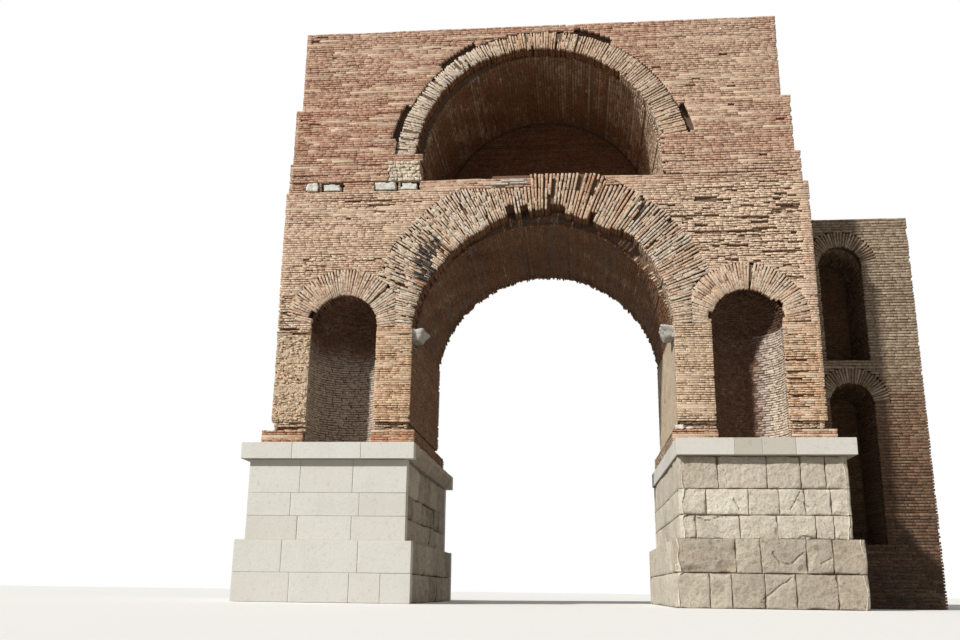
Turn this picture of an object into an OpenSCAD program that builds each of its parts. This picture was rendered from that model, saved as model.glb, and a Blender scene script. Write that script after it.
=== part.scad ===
// Ruined brick triumphal arch on two limestone pedestals, with a wing wall on its right side.
// Millimetres, +Z up, the front faces -Y. Ground level is Z = 0.
// The origin is the middle of the whole outline on the ground, so the arch's own axis lies
// a little to the left of it, because the wing reaches out on the right only.

/* [Pedestals] */
// How far each plinth and cap stands out into the passage from the pier above
pedestal_passage_reach = 320; // [200:10:340]
// How far each plinth and cap stands out beyond the brick foot on its outer side
pedestal_side_reach = 160; // [60:10:260]
// How far each pedestal stands out in front of the brickwork, and behind it
pedestal_reach = 1050; // [800:10:1400]
// How far the right cap falls short of its plinth on the passage side
right_cap_setback = 150; // [0:10:160]
// Height of the left plinth, two courses of blocks
left_plinth_height = 1350; // [1000:10:1700]
// Height of the right plinth, whose two courses are higher
right_plinth_height = 1450; // [1000:10:1700]
// Height of the left die, three courses of blocks
left_die_height = 1820; // [1500:10:2100]
// Height of the right die, which keeps its old blocks
right_die_height = 1810; // [1500:10:2100]
// Thickness of the slabs that cap a die
cap_height = 380; // [250:10:500]
// How far a die is set in from its plinth and cap, all round
die_inset = 180; // [80:10:260]

/* [Piers] */
// Half of the brickwork's width, to the flank of each pier
body_half_width = 6600; // [6400:10:6700]
// Depth of the brickwork, from its front face to its back face
body_depth = 5200; // [4600:10:5800]
// Width of the passage between the piers
passage_width = 6360; // [6200:10:6600]
// Height of the projecting brick foot on the left cap
foot_height = 420; // [350:10:700]
// How far the brick foot stands out from the pier on its front, back and outer side
foot_projection = 150; // [60:10:220]
// Height of the rough band above the foot, where a moulding was torn out
scar_height = 220; // [120:10:320]
// Depth of that band
scar_depth = 60; // [30:5:90]
// Height of a pier from the brick foot to the line where the arches spring
pier_height = 2590; // [2200:10:2900]

/* [Niches] */
// From the passage's jamb to the middle of a niche
niche_from_passage = 1725; // [1690:5:1780]
// Radius of a niche's half-round plan and of its half dome
niche_radius = 830; // [700:10:850]
// Depth of the straight-sided part of the left pier's niches, in front of the half round
left_niche_straight = 700; // [100:50:800]
// Depth of the straight-sided part of the right pier's niches
right_niche_straight = 400; // [100:50:800]
// Thickness of the ring of bricks round a niche head
niche_ring_thickness = 705; // [500:5:720]
// How far a niche ring lies behind the face of the wall
niche_ring_setback = 15; // [10:5:50]

/* [Main arch] */
// How far the centre of the front arch lies below the springing line
arch_centre_drop = 240; // [0:10:400]
// The same for the vault and the back arch, which keep their lower, unbroken curve
vault_centre_drop = 420; // [240:10:480]
// Thickness of the ring of long bricks at each mouth of the passage
main_ring_thickness = 1230; // [1100:10:1260]
// Thickness of the barrel vault between the two rings
vault_thickness = 600; // [400:10:680]
// How far each ring reaches into the passage, the length of its bricks
ring_length = 590; // [450:10:700]
// How far the main rings lie behind the face of the wall
main_ring_setback = 20; // [10:5:60]
// How far the broken crown of the front ring stands up above the recess floor
crown_rise = 70; // [20:10:140]
// Height of the wall from the springing line to the ledge
spandrel_height = 3630; // [3500:10:3800]

/* [Bands and attic] */
// How far each storey above the ledge is laid further to the left
storey_drift = 40; // [0:5:50]
// Height of the low band on the ledge
ledge_height = 270; // [200:10:350]
// How far the bands are set in from the wall below, on the flanks
band_side_step = 80; // [40:10:120]
// How far the bands are set in from the wall below, on the front and back
band_face_step = 45; // [20:5:70]
// Height of the string band above the groove
string_height = 560; // [450:10:700]
// Height of the lower part of the attic
attic_low_height = 1560; // [1300:10:1800]
// How far the lower attic is set in from the bands, on the flanks
attic_side_step = 90; // [40:10:130]
// How far the lower attic is set in from the bands, on the front and back
attic_face_step = 45; // [20:5:70]
// Height of the upper part of the attic, up to the flat top
attic_high_height = 2330; // [2200:10:2700]
// How far the upper attic is set in from the lower part, on the flanks
top_side_step = 180; // [80:10:260]
// How far the upper attic is set in from the lower part, on the front and back
top_face_step = 60; // [20:5:100]

/* [Upper recess] */
// Radius of the vaulted recess in the attic
recess_radius = 3060; // [2900:10:3100]
// Height of the recess floor above the ledge
recess_floor_height = 290; // [280:10:340]
// How far the recess arch springs above the string band
recess_rise = 100; // [60:10:200]
// Thickness of the ring of bricks round the recess, at its crown
recess_ring_thickness = 580; // [400:10:600]
// How much lower the centre of that ring's outer circle lies, so that it widens downwards
recess_ring_spread = 200; // [0:10:220]
// Thickness of the vault behind that ring
recess_vault_thickness = 340; // [250:10:380]
// How far the recess ring lies behind the face of the upper attic
recess_ring_setback = 20; // [10:5:60]
// Length of the recess ring's bricks, front to back
recess_ring_length = 450; // [300:10:600]
// Thickness of the wall that closes the recess at the back
recess_wall_thickness = 500; // [400:10:700]
// How far the closing wall lies behind the back ring's face
recess_wall_setback = 60; // [20:5:100]
// How far the torn slots in the facing reach beyond the recess ring
slot_reach = 140; // [60:10:150]
// Depth of those slots
slot_depth = 260; // [150:10:350]

/* [Marble remains] */
// Side of the white block left under the recess arch, along the wall
springer_width = 890; // [600:10:950]
// Depth of that block into the wall
springer_depth = 700; // [500:10:900]
// How far that block stands out from the band
springer_projection = 60; // [20:5:100]
// Length of each cornice fragment at the springing line, along the passage
impost_length = 900; // [600:10:1200]
// Height of a cornice fragment
impost_height = 330; // [220:10:420]
// How far a cornice fragment stands out into the passage
impost_projection = 340; // [200:10:420]
// Depth of the sockets that hold the marble pieces
socket_depth = 260; // [150:10:350]
// Height of the blocks left in the ledge
ledge_stone_height = 240; // [140:10:250]
// How far the ledge blocks stand out from the band
ledge_stone_projection = 110; // [50:10:160]

/* [Wing wall] */
// From the pier's flank to the plain end of the wing
wing_length = 3000; // [2700:10:3900]
// How far the wing's face lies in front of the middle of the arch's depth
wing_front = 350; // [0:10:800]
// Thickness of the wing in front of the wall that closes its openings
wing_thickness = 1700; // [1200:10:1800]
// Thickness of the wall that closes the openings
wing_back_thickness = 600; // [400:10:700]
// Height of the wing's lower storey
wing_low_height = 6100; // [6060:10:6300]
// Height of the wing's upper storey
wing_high_height = 3900; // [3750:10:4000]
// From the pier's flank to the middle of the wing's openings
wing_opening_from_pier = 1200; // [1100:10:1400]
// Width of the wing's openings
wing_opening_width = 1080; // [900:10:1100]
// Height of the lower opening's sill above the ground
wing_low_sill = 1500; // [1000:10:2000]
// Brickwork left between the lower opening's ring and the top of the lower storey
wing_head_clearance = 135; // [80:5:400]
// Height of the upper opening's springing line above its sill
wing_high_springing = 2580; // [2300:10:2700]
// Thickness of the rings round the wing's openings
wing_ring_thickness = 440; // [350:10:460]
// Length of the bricks in those rings, front to back
wing_ring_length = 450; // [300:10:600]
// How far those rings lie behind the wing's face
wing_ring_setback = 15; // [5:5:30]

/* [Hidden] */
$fn = 96;
arch_fn = 360;
eps = 1;

// Distances from the arch's axis
passage_half = passage_width / 2;
pedestal_inner = passage_half - pedestal_passage_reach;
pedestal_outer = body_half_width + foot_projection + pedestal_side_reach;
niche_offset = passage_half + niche_from_passage;
wing_end = body_half_width + wing_length;
wing_opening_offset = body_half_width + wing_opening_from_pier;

// Levels, from the ground up
left_cap_top = left_plinth_height + left_die_height + cap_height;
right_cap_top = right_plinth_height + right_die_height + cap_height;
foot_top = left_cap_top + foot_height;
scar_top = foot_top + scar_height;
impost_level = foot_top + pier_height;
arch_centre = impost_level - arch_centre_drop;
ledge_level = impost_level + spandrel_height;
recess_floor_level = ledge_level + recess_floor_height;
ledge_top = ledge_level + ledge_height;
string_top = ledge_top + string_height;
recess_springing = string_top + recess_rise;
attic_low_top = string_top + attic_low_height;
attic_top = attic_low_top + attic_high_height;
wing_top = wing_low_height + wing_high_height;

// Half widths and half depths of each level
body_half_depth = body_depth / 2;
pedestal_half_depth = body_half_depth + pedestal_reach;
band_half_width = body_half_width - band_side_step;
band_half_depth = body_half_depth - band_face_step;
attic_half_width = band_half_width - attic_side_step;
attic_half_depth = band_half_depth - attic_face_step;
top_half_width = attic_half_width - top_side_step;
top_half_depth = attic_half_depth - top_face_step;

// Arch radii and where the rings start and stop
main_ring_radius = passage_half + main_ring_thickness;
vault_radius = passage_half + vault_thickness;
main_ring_face = body_half_depth - main_ring_setback;
main_ring_end = main_ring_face - ring_length;
niche_ring_radius = niche_radius + niche_ring_thickness;
niche_ring_face = body_half_depth - niche_ring_setback;
niche_ring_end = niche_ring_face - ring_length;
// The niche ring and the main ring lean on each other along this upright seam
seam = (passage_half + niche_offset - niche_radius) / 2;
recess_ring_centre = recess_springing - recess_ring_spread;
recess_ring_radius = recess_radius + recess_ring_thickness + recess_ring_spread;
recess_vault_radius = recess_radius + recess_vault_thickness;
recess_ring_face = top_half_depth - recess_ring_setback;
recess_ring_end = recess_ring_face - recess_ring_length;
recess_wall_face = recess_ring_face - recess_wall_setback;
recess_wall_front = recess_wall_face - recess_wall_thickness;

// Torn slots beside the recess ring, as [first, last] angles from the right springing
SLOTS = [[8, 20], [60, 76], [118, 135], [156, 172]];

// The wing
wing_back_face = wing_thickness - wing_front;
wing_opening_half = wing_opening_width / 2;
wing_low_springing = wing_low_height - wing_head_clearance - wing_ring_thickness
  - wing_opening_half;

// The whole outline is centred on the origin
axis_x = (pedestal_outer - wing_end) / 2;

brick = [0.72, 0.55, 0.45];
old_brick = [0.66, 0.51, 0.42];
long_brick = [0.78, 0.64, 0.52];
new_limestone = [0.88, 0.85, 0.78];
old_limestone = [0.80, 0.75, 0.66];
marble = [0.85, 0.86, 0.86];

// A block between two corners
module block(low, high) {
  translate(low) cube([for (i = [0:2]) high[i] - low[i]]);
}

// The left and right halves are built on the positive side, and side -1 mirrors them
module on_side(side) {
  mirror([side < 0 ? 1 : 0, 0, 0]) children();
}

// The front and back faces are built on the positive side, and the front is -Y
module on_face(face) {
  mirror([0, face < 0 ? 1 : 0, 0]) children();
}

// Puts a piece that is drawn round the arch's own axis in its place
module placed() {
  translate([axis_x, 0, 0]) children();
}

// A round bar along Y, from one depth to another
module bar_y(radius, centre_x, centre_z, from_y, to_y) {
  translate([centre_x, to_y, centre_z]) rotate([90, 0, 0])
    cylinder(r = radius, h = to_y - from_y, $fn = arch_fn);
}

// The part of such a bar that stands above a floor level
module arch_disc(radius, centre_x, centre_z, floor_z, from_y, to_y) {
  difference() {
    bar_y(radius, centre_x, centre_z, from_y, to_y);
    block([centre_x - radius - eps, from_y - eps, centre_z - radius - eps],
      [centre_x + radius + eps, to_y + eps, floor_z]);
  }
}

// A ring of bricks round an opening, cut off at the springing level
module arch_ring(inner, outer, centre_x, centre_z, floor_z, from_y, to_y) {
  difference() {
    arch_disc(outer, centre_x, centre_z, floor_z, from_y, to_y);
    bar_y(inner, centre_x, centre_z, from_y - eps, to_y + eps);
  }
}

// The round of the passage, which always meets the piers flush at the springing line
module passage_bar(drop, from_y, to_y) {
  bar_y(sqrt(pow(passage_half, 2) + pow(drop, 2)), 0, impost_level - drop, from_y, to_y);
}

// The room of a niche: a half round in plan with a half dome, and in front of it a part with
// straight sides and a barrel head, open to the face
module niche_room(bottom, side) {
  rise = impost_level - bottom;
  round_y = body_half_depth - (side < 0 ? left_niche_straight : right_niche_straight);
  translate([niche_offset, round_y, bottom]) rotate([0, 0, 90]) rotate_extrude() {
    square([niche_radius, rise]);
    intersection() {
      translate([0, rise]) circle(r = niche_radius);
      translate([0, rise / 2]) square([niche_radius, rise + niche_radius]);
    }
  }
  bar_y(niche_radius, niche_offset, impost_level, round_y, body_half_depth + eps);
  block([niche_offset - niche_radius, round_y, bottom],
    [niche_offset + niche_radius, body_half_depth + eps, impost_level]);
}

// The space that a niche room takes out of the brick foot, which stands out further
module niche_doorway(bottom, top) {
  block([niche_offset - niche_radius, body_half_depth, bottom],
    [niche_offset + niche_radius, body_half_depth + foot_projection + eps, top]);
}

module pedestal_block(side, inset, bottom, top) {
  on_side(side)
    block([pedestal_inner + inset, -pedestal_half_depth + inset, bottom],
      [pedestal_outer - inset, pedestal_half_depth - inset, top]);
}

module left_plinth() {
  color(new_limestone) placed() pedestal_block(-1, 0, 0, left_plinth_height);
}

module right_plinth() {
  color(old_limestone) placed() pedestal_block(1, 0, 0, right_plinth_height);
}

module left_die() {
  color(new_limestone) placed()
    pedestal_block(-1, die_inset, left_plinth_height, left_cap_top - cap_height);
}

module right_die() {
  color(old_limestone) placed()
    pedestal_block(1, die_inset, right_plinth_height, right_cap_top - cap_height);
}

module left_cap() {
  color(new_limestone) placed()
    pedestal_block(-1, 0, left_cap_top - cap_height, left_cap_top);
}

module right_cap() {
  color(old_limestone) placed()
    block([pedestal_inner + right_cap_setback, -pedestal_half_depth,
        right_cap_top - cap_height],
      [pedestal_outer, pedestal_half_depth, right_cap_top]);
}

// The projecting courses at the foot of a pier, broken by the niches
module brick_foot(side, bottom) {
  reach = body_half_depth + foot_projection;
  on_side(side) difference() {
    block([passage_half - foot_projection, -reach, bottom],
      [body_half_width + foot_projection, reach, foot_top]);
    for (face = [-1, 1]) on_face(face) {
      niche_room(bottom - eps, side);
      niche_doorway(bottom - eps, foot_top + eps);
    }
  }
}

module left_brick_foot() {
  color(brick) placed() brick_foot(-1, left_cap_top);
}

module right_brick_foot() {
  color(brick) placed() brick_foot(1, right_cap_top);
}

// A pier with the torn band at its foot and a niche in its front and back
module pier(side) {
  on_side(side) difference() {
    union() {
      block([passage_half + scar_depth, scar_depth - body_half_depth, foot_top],
        [body_half_width - scar_depth, body_half_depth - scar_depth, scar_top + eps]);
      block([passage_half, -body_half_depth, scar_top],
        [body_half_width, body_half_depth, impost_level]);
    }
    for (face = [-1, 1]) on_face(face) niche_room(foot_top - eps, side);
    impost_socket();
  }
}

module left_pier() {
  color(brick) placed() pier(-1);
}

module right_pier() {
  color(old_brick) placed() pier(1);
}

// A niche ring opens into the half dome, and ends at the seam where it leans on the main ring
module niche_ring(side, face) {
  on_side(side) on_face(face) difference() {
    arch_disc(niche_ring_radius, niche_offset, impost_level, impost_level,
      niche_ring_end, niche_ring_face);
    niche_room(foot_top, side);
    block([0, niche_ring_end - eps, impost_level - eps],
      [seam, niche_ring_face + eps, ledge_level]);
  }
}

module left_niche_ring_front() {
  color(long_brick) placed() niche_ring(-1, -1);
}

module right_niche_ring_front() {
  color(long_brick) placed() niche_ring(1, -1);
}

module left_niche_ring_back() {
  color(long_brick) placed() niche_ring(-1, 1);
}

module right_niche_ring_back() {
  color(long_brick) placed() niche_ring(1, 1);
}

// The room that both niche rings of one face take out of what stands behind the seam
module niche_ring_room(from_y, to_y) {
  for (side = [-1, 1]) on_side(side) intersection() {
    bar_y(niche_ring_radius, niche_offset, impost_level, from_y, to_y);
    block([seam, from_y - eps, impost_level - eps],
      [body_half_width, to_y + eps, ledge_level]);
  }
}

// The ring of long bricks at one mouth of the passage
module main_ring(face, drop, top) {
  on_face(face) intersection() {
    difference() {
      arch_disc(main_ring_radius, 0, arch_centre, impost_level, main_ring_end,
        main_ring_face);
      passage_bar(drop, main_ring_end - eps, main_ring_face + eps);
      niche_ring_room(main_ring_end - eps, main_ring_face + eps);
      for (side = [-1, 1]) on_side(side) niche_room(foot_top, side);
    }
    block([-body_half_width, 0, 0], [body_half_width, body_half_depth, top]);
  }
}

module main_ring_front() {
  color(long_brick) placed() main_ring(-1, arch_centre_drop, recess_floor_level + crown_rise);
}

module main_ring_back() {
  color(long_brick) placed() main_ring(1, vault_centre_drop, recess_floor_level);
}

module main_vault() {
  color(old_brick) placed() difference() {
    arch_disc(vault_radius, 0, arch_centre, impost_level, -main_ring_end, main_ring_end);
    passage_bar(vault_centre_drop, -main_ring_end - eps, main_ring_end + eps);
  }
}

// All that the main rings and the vault take out of the walls above the springing line
module main_arch_room() {
  bar_y(vault_radius, 0, arch_centre, -body_half_depth - eps, body_half_depth + eps);
  for (face = [-1, 1]) on_face(face)
    bar_y(main_ring_radius, 0, arch_centre, main_ring_end, body_half_depth + eps);
}

// The wall beside the main arch, with the heads of the niches
module spandrel(side) {
  on_side(side) difference() {
    difference() {
      block([0, -body_half_depth, impost_level],
        [body_half_width, body_half_depth, ledge_level]);
      main_arch_room();
    }
    for (face = [-1, 1]) on_face(face) {
      bar_y(niche_ring_radius, niche_offset, impost_level, niche_ring_end,
        body_half_depth + eps);
      niche_room(foot_top, side);
    }
  }
}

module left_spandrel() {
  color(brick) placed() spandrel(-1);
}

module right_spandrel() {
  color(old_brick) placed() spandrel(1);
}

// The low band on the ledge, from the recess to the flank
module ledge_band(side) {
  on_side(side) block([recess_radius, -band_half_depth, ledge_level],
    [band_half_width - side * storey_drift, band_half_depth, ledge_top]);
}

module left_ledge_band() {
  color(brick) placed() difference() {
    ledge_band(-1);
    ledge_sockets();
  }
}

module right_ledge_band() {
  color(brick) placed() ledge_band(1);
}

// The fill between the main vault and the floor of the recess
module recess_floor() {
  color(old_brick) placed() difference() {
    block([-recess_radius, -band_half_depth, ledge_level],
      [recess_radius, band_half_depth, recess_floor_level]);
    main_arch_room();
  }
}

module string_band(side) {
  on_side(side) block([recess_radius, -band_half_depth, ledge_top],
    [band_half_width - side * storey_drift, band_half_depth, string_top]);
}

module left_string_band() {
  color(brick) placed() difference() {
    string_band(-1);
    springer_socket();
  }
}

module right_string_band() {
  color(brick) placed() string_band(1);
}

// The half round of the recess, at a given radius
module recess_bar(radius, from_y, to_y) {
  bar_y(radius, 0, recess_springing, from_y, to_y);
}

// The outer round of the recess ring, whose centre lies lower
module recess_ring_bar(from_y, to_y) {
  bar_y(recess_ring_radius, 0, recess_ring_centre, from_y, to_y);
}

// How far it is from the recess's centre to a circle round the ring's centre, at an angle
function reach_at(angle, radius) =
  sqrt(pow(radius, 2) - pow(recess_ring_spread * cos(angle), 2))
    - recess_ring_spread * sin(angle);

// Torn slots in the facing just outside the recess ring
module slots() {
  for (slot = SLOTS)
    translate([0, -attic_half_depth - eps, recess_springing]) rotate([-90, 0, 0])
      linear_extrude(slot_depth + eps)
        polygon(concat(
          [for (i = [0:4]) let (a = slot[0] + (slot[1] - slot[0]) * i / 4)
            [recess_radius * cos(a), -recess_radius * sin(a)]],
          [for (i = [4:-1:0]) let (a = slot[0] + (slot[1] - slot[0]) * i / 4,
              far = reach_at(a, recess_ring_radius + slot_reach))
            [far * cos(a), -far * sin(a)]]));
}

// All that the recess, its rings and its vault take out of the attic
module recess_room() {
  recess_bar(recess_vault_radius, -body_half_depth, body_half_depth);
  for (face = [-1, 1]) on_face(face)
    recess_ring_bar(recess_ring_end, attic_half_depth + eps);
  slots();
}

module attic_wall(side) {
  on_side(side) difference() {
    block([recess_radius, -attic_half_depth, string_top],
      [attic_half_width - side * 2 * storey_drift, attic_half_depth, attic_low_top]);
    intersection() {
      on_side(side) recess_room();
      block([0, -body_half_depth, recess_springing],
        [body_half_width, body_half_depth, attic_top]);
    }
  }
}

module left_attic_wall() {
  color(brick) placed() attic_wall(-1);
}

module right_attic_wall() {
  color(brick) placed() attic_wall(1);
}

module attic_top_wall() {
  color(brick) placed() difference() {
    block([-top_half_width - 3 * storey_drift, -top_half_depth, attic_low_top],
      [top_half_width - 3 * storey_drift, top_half_depth, attic_top]);
    recess_room();
  }
}

module recess_ring(face) {
  on_face(face) difference() {
    arch_disc(recess_ring_radius, 0, recess_ring_centre, recess_springing,
      recess_ring_end, recess_ring_face);
    recess_bar(recess_radius, recess_ring_end - eps, recess_ring_face + eps);
  }
}

module recess_ring_front() {
  color(long_brick) placed() recess_ring(-1);
}

module recess_ring_back() {
  color(long_brick) placed() recess_ring(1);
}

module recess_vault() {
  color(old_brick) placed() difference() {
    arch_disc(recess_vault_radius, 0, recess_springing, recess_springing,
      -recess_ring_end, recess_ring_end);
    recess_bar(recess_radius, -recess_ring_end - eps, recess_ring_end + eps);
  }
}

// The wall that closes the recess fills its whole half-round end
module recess_back_wall() {
  color(old_brick) placed() intersection() {
    union() {
      recess_bar(recess_radius, recess_wall_front, recess_wall_face);
      block([-recess_radius, recess_wall_front, recess_floor_level],
        [recess_radius, recess_wall_face, recess_springing]);
    }
    block([-recess_radius, recess_wall_front, recess_floor_level],
      [recess_radius, recess_wall_face, attic_top]);
  }
}

// The white block under the left end of the recess arch
module springer_shape(grow) {
  block([-recess_radius - springer_width, -band_half_depth - springer_projection - grow,
      ledge_top],
    [-recess_radius + grow, springer_depth - band_half_depth, string_top]);
}

module springer_socket() {
  springer_shape(eps);
}

module springer_block() {
  color(marble) placed() springer_shape(0);
}

// Blocks left in the ledge, as [distance from the recess to the near end, length]
LEDGE_STONES = [[2690, 350], [2050, 590], [610, 640], [60, 500]];

module ledge_stone_row(forward) {
  for (stone = LEDGE_STONES)
    block([-recess_radius - stone[0] - stone[1], -band_half_depth - forward, ledge_level],
      [-recess_radius - stone[0], socket_depth - band_half_depth,
        ledge_level + ledge_stone_height]);
}

module ledge_sockets() {
  ledge_stone_row(eps);
}

module ledge_blocks() {
  color(marble) placed() ledge_stone_row(ledge_stone_projection);
}

// A cornice fragment let into a pier just under the springing line
module impost_profile() {
  polygon([
    [passage_half + socket_depth, impost_level],
    [passage_half + socket_depth, impost_level - impost_height],
    [passage_half - impost_projection * 0.25, impost_level - impost_height],
    [passage_half - impost_projection, impost_level - impost_height * 0.35],
    [passage_half - impost_projection, impost_level]]);
}

module impost_shape() {
  translate([0, impost_length - body_half_depth, 0]) rotate([90, 0, 0])
    linear_extrude(impost_length) impost_profile();
}

module impost_socket() {
  impost_shape();
}

module left_impost_block() {
  color(marble) placed() on_side(-1) impost_shape();
}

module right_impost_block() {
  color(marble) placed() on_side(1) impost_shape();
}

// The room of a wing opening, from its sill to its round head
module wing_opening(sill, springing, radius, from_y, to_y) {
  block([wing_opening_offset - radius, from_y, sill],
    [wing_opening_offset + radius, to_y, springing]);
  bar_y(radius, wing_opening_offset, springing, from_y, to_y);
}

// The recess that a wing ring takes out of the wing's face
module wing_ring_room(springing) {
  difference() {
    bar_y(wing_opening_half + wing_ring_thickness, wing_opening_offset, springing,
      -wing_front - eps, wing_ring_setback + wing_ring_length - wing_front);
    block([pedestal_inner, -body_half_depth, 0], [wing_end, body_half_depth, springing]);
  }
}

// The wing's edge against the right pier follows the plinth, die, cap and foot
module wing_outline(top) {
  foot_side = body_half_width + foot_projection;
  die_side = pedestal_outer - die_inset;
  polygon([[pedestal_outer, 0], [pedestal_outer, right_plinth_height],
    [die_side, right_plinth_height], [die_side, right_cap_top - cap_height],
    [pedestal_outer, right_cap_top - cap_height], [pedestal_outer, right_cap_top],
    [foot_side, right_cap_top], [foot_side, foot_top],
    [body_half_width - scar_depth, foot_top], [body_half_width - scar_depth, scar_top],
    [body_half_width, scar_top], [body_half_width, top], [wing_end, top], [wing_end, 0]]);
}

module wing_slab(from_y, to_y, top) {
  translate([0, to_y, 0]) rotate([90, 0, 0]) linear_extrude(to_y - from_y)
    wing_outline(top);
}

module wing_lower_wall() {
  color(old_brick) placed() difference() {
    wing_slab(-wing_front, wing_back_face, wing_low_height);
    wing_opening(wing_low_sill, wing_low_springing, wing_opening_half,
      -wing_front - eps, wing_back_face + eps);
    wing_ring_room(wing_low_springing);
  }
}

module wing_upper_wall() {
  color(old_brick) placed() difference() {
    block([body_half_width, -wing_front, wing_low_height],
      [wing_end, wing_back_face, wing_top]);
    wing_opening(wing_low_height - eps, wing_low_height + wing_high_springing,
      wing_opening_half, -wing_front - eps, wing_back_face + eps);
    wing_ring_room(wing_low_height + wing_high_springing);
  }
}

module wing_ring(springing) {
  arch_ring(wing_opening_half, wing_opening_half + wing_ring_thickness,
    wing_opening_offset, springing, springing,
    wing_ring_setback - wing_front, wing_ring_setback + wing_ring_length - wing_front);
}

module wing_lower_ring() {
  color(long_brick) placed() wing_ring(wing_low_springing);
}

module wing_upper_ring() {
  color(long_brick) placed() wing_ring(wing_low_height + wing_high_springing);
}

module wing_back_wall() {
  color(old_brick) placed()
    wing_slab(wing_back_face, wing_back_face + wing_back_thickness, wing_top);
}

left_plinth();
right_plinth();
left_die();
right_die();
left_cap();
right_cap();
left_brick_foot();
right_brick_foot();
left_pier();
right_pier();
left_niche_ring_front();
right_niche_ring_front();
left_niche_ring_back();
right_niche_ring_back();
main_ring_front();
main_ring_back();
main_vault();
left_spandrel();
right_spandrel();
left_ledge_band();
right_ledge_band();
recess_floor();
left_string_band();
right_string_band();
left_attic_wall();
right_attic_wall();
attic_top_wall();
recess_ring_front();
recess_ring_back();
recess_vault();
recess_back_wall();
springer_block();
ledge_blocks();
left_impost_block();
right_impost_block();
wing_lower_wall();
wing_upper_wall();
wing_lower_ring();
wing_upper_ring();
wing_back_wall();
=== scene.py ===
# %% [markdown]
# # A ruined brick arch on limestone pedestals
# The solids that come with the part give every wall its true place and size. What they lack
# is what a mason laid: tens of thousands of bricks, their mortar, the sawn and the worn
# blocks of the pedestals, and the last pieces of marble. This lesson models one brick and a
# few stones by hand, and then lays them course by course on the faces of the solids.

# %% Load the frame
import math

import bmesh
import bpy
import numpy as np
from mathutils import Matrix, Vector, noise


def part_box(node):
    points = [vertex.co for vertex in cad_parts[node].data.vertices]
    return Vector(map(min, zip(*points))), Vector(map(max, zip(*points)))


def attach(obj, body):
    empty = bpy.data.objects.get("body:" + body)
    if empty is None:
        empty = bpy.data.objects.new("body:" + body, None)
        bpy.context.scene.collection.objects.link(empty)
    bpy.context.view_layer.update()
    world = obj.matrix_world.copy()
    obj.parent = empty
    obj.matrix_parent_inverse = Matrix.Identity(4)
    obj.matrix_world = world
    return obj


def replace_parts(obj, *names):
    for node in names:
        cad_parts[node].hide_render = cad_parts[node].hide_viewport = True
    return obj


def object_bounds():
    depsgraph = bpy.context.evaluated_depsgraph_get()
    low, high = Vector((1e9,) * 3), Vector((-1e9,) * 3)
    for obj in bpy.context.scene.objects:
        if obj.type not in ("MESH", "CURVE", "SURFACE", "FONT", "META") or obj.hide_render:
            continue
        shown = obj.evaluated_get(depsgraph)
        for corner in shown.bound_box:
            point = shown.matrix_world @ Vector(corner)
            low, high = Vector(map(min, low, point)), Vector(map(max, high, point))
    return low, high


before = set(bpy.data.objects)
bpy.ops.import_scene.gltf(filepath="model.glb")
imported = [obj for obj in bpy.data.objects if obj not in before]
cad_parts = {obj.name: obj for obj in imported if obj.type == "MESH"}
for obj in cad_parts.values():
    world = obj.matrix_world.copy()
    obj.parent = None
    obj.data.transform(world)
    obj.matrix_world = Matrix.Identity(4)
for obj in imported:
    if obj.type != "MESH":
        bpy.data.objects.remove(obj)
cad_low, cad_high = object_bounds()
print("solids:", len(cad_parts), "box:", tuple(cad_low), tuple(cad_high))


# %% [markdown]
# ## Levels and radii
# A mason works from strings and a few fixed marks. The same marks are read here from the
# solids: the levels where one storey ends and the next begins, and the axis of the passage.
# What a box can't tell, such as the radius of an arch, is written down once.

# %% Marks taken from the solids
def low(node):
    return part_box(node)[0]


def high(node):
    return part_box(node)[1]


AXIS = (low("main_vault").x + high("main_vault").x) / 2
LEFT_DIE, LEFT_CAP = high("left_die").z, high("left_cap").z
RIGHT_DIE, RIGHT_CAP = high("right_die").z, high("right_cap").z
FOOT_TOP = high("left_brick_foot").z
SCAR_TOP = FOOT_TOP + 0.22
IMPOST = high("left_pier").z
LEDGE, LEDGE_TOP = high("left_spandrel").z, high("left_ledge_band").z
FLOOR, STRING_TOP = high("recess_floor").z, high("left_string_band").z
LOW_TOP, TOP = high("left_attic_wall").z, high("attic_top_wall").z
WALL_X, WALL_Y = 6.6, high("left_pier").y
PASSAGE = AXIS - high("left_pier").x
RING_DROP, VAULT_DROP, VAULT_STEP = 0.24, 0.42, 0.18
RING_Z, RING_IN = IMPOST - RING_DROP, math.hypot(PASSAGE, RING_DROP)
VAULT_Z, VAULT_R = IMPOST - VAULT_DROP, math.hypot(PASSAGE, VAULT_DROP)
MAIN_R = PASSAGE + 1.23
NICHE_R, NICHE_RING_R = 0.83, 1.535
NICHE_OUT = AXIS - low("left_niche_ring_front").x - NICHE_RING_R
NICHE_STRAIGHT = {-1: 0.70, 1: 0.40}
SEAM = AXIS - high("left_niche_ring_front").x
RECESS_R, RECESS_Z = 3.06, STRING_TOP + 0.1
RECESS_RING_R, RECESS_RING_Z = 3.84, RECESS_Z - 0.2
RECESS_BACK, BACK_FACE, VAULT_FRONT = 1.86, 2.45, -1.98
print("axis", round(AXIS, 3), "impost", round(IMPOST, 3), "niche", round(NICHE_OUT, 3),
      "seam", round(SEAM, 3), "top", round(TOP, 3))


# %% [markdown]
# ## Shader maths as Python
# Each finish below is a small recipe of numbers: so much stain, so much grain. To write it
# as a recipe, a socket is wrapped in a class whose plus and times add the matching nodes.

# %% A socket that can be added and multiplied
def operator(kind, swapped=False):
    def act(self, other):
        pair = (other, self) if swapped else (self, other)
        return self.board.node("Math", {"operation": kind}, dict(enumerate(pair)))
    return act


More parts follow.
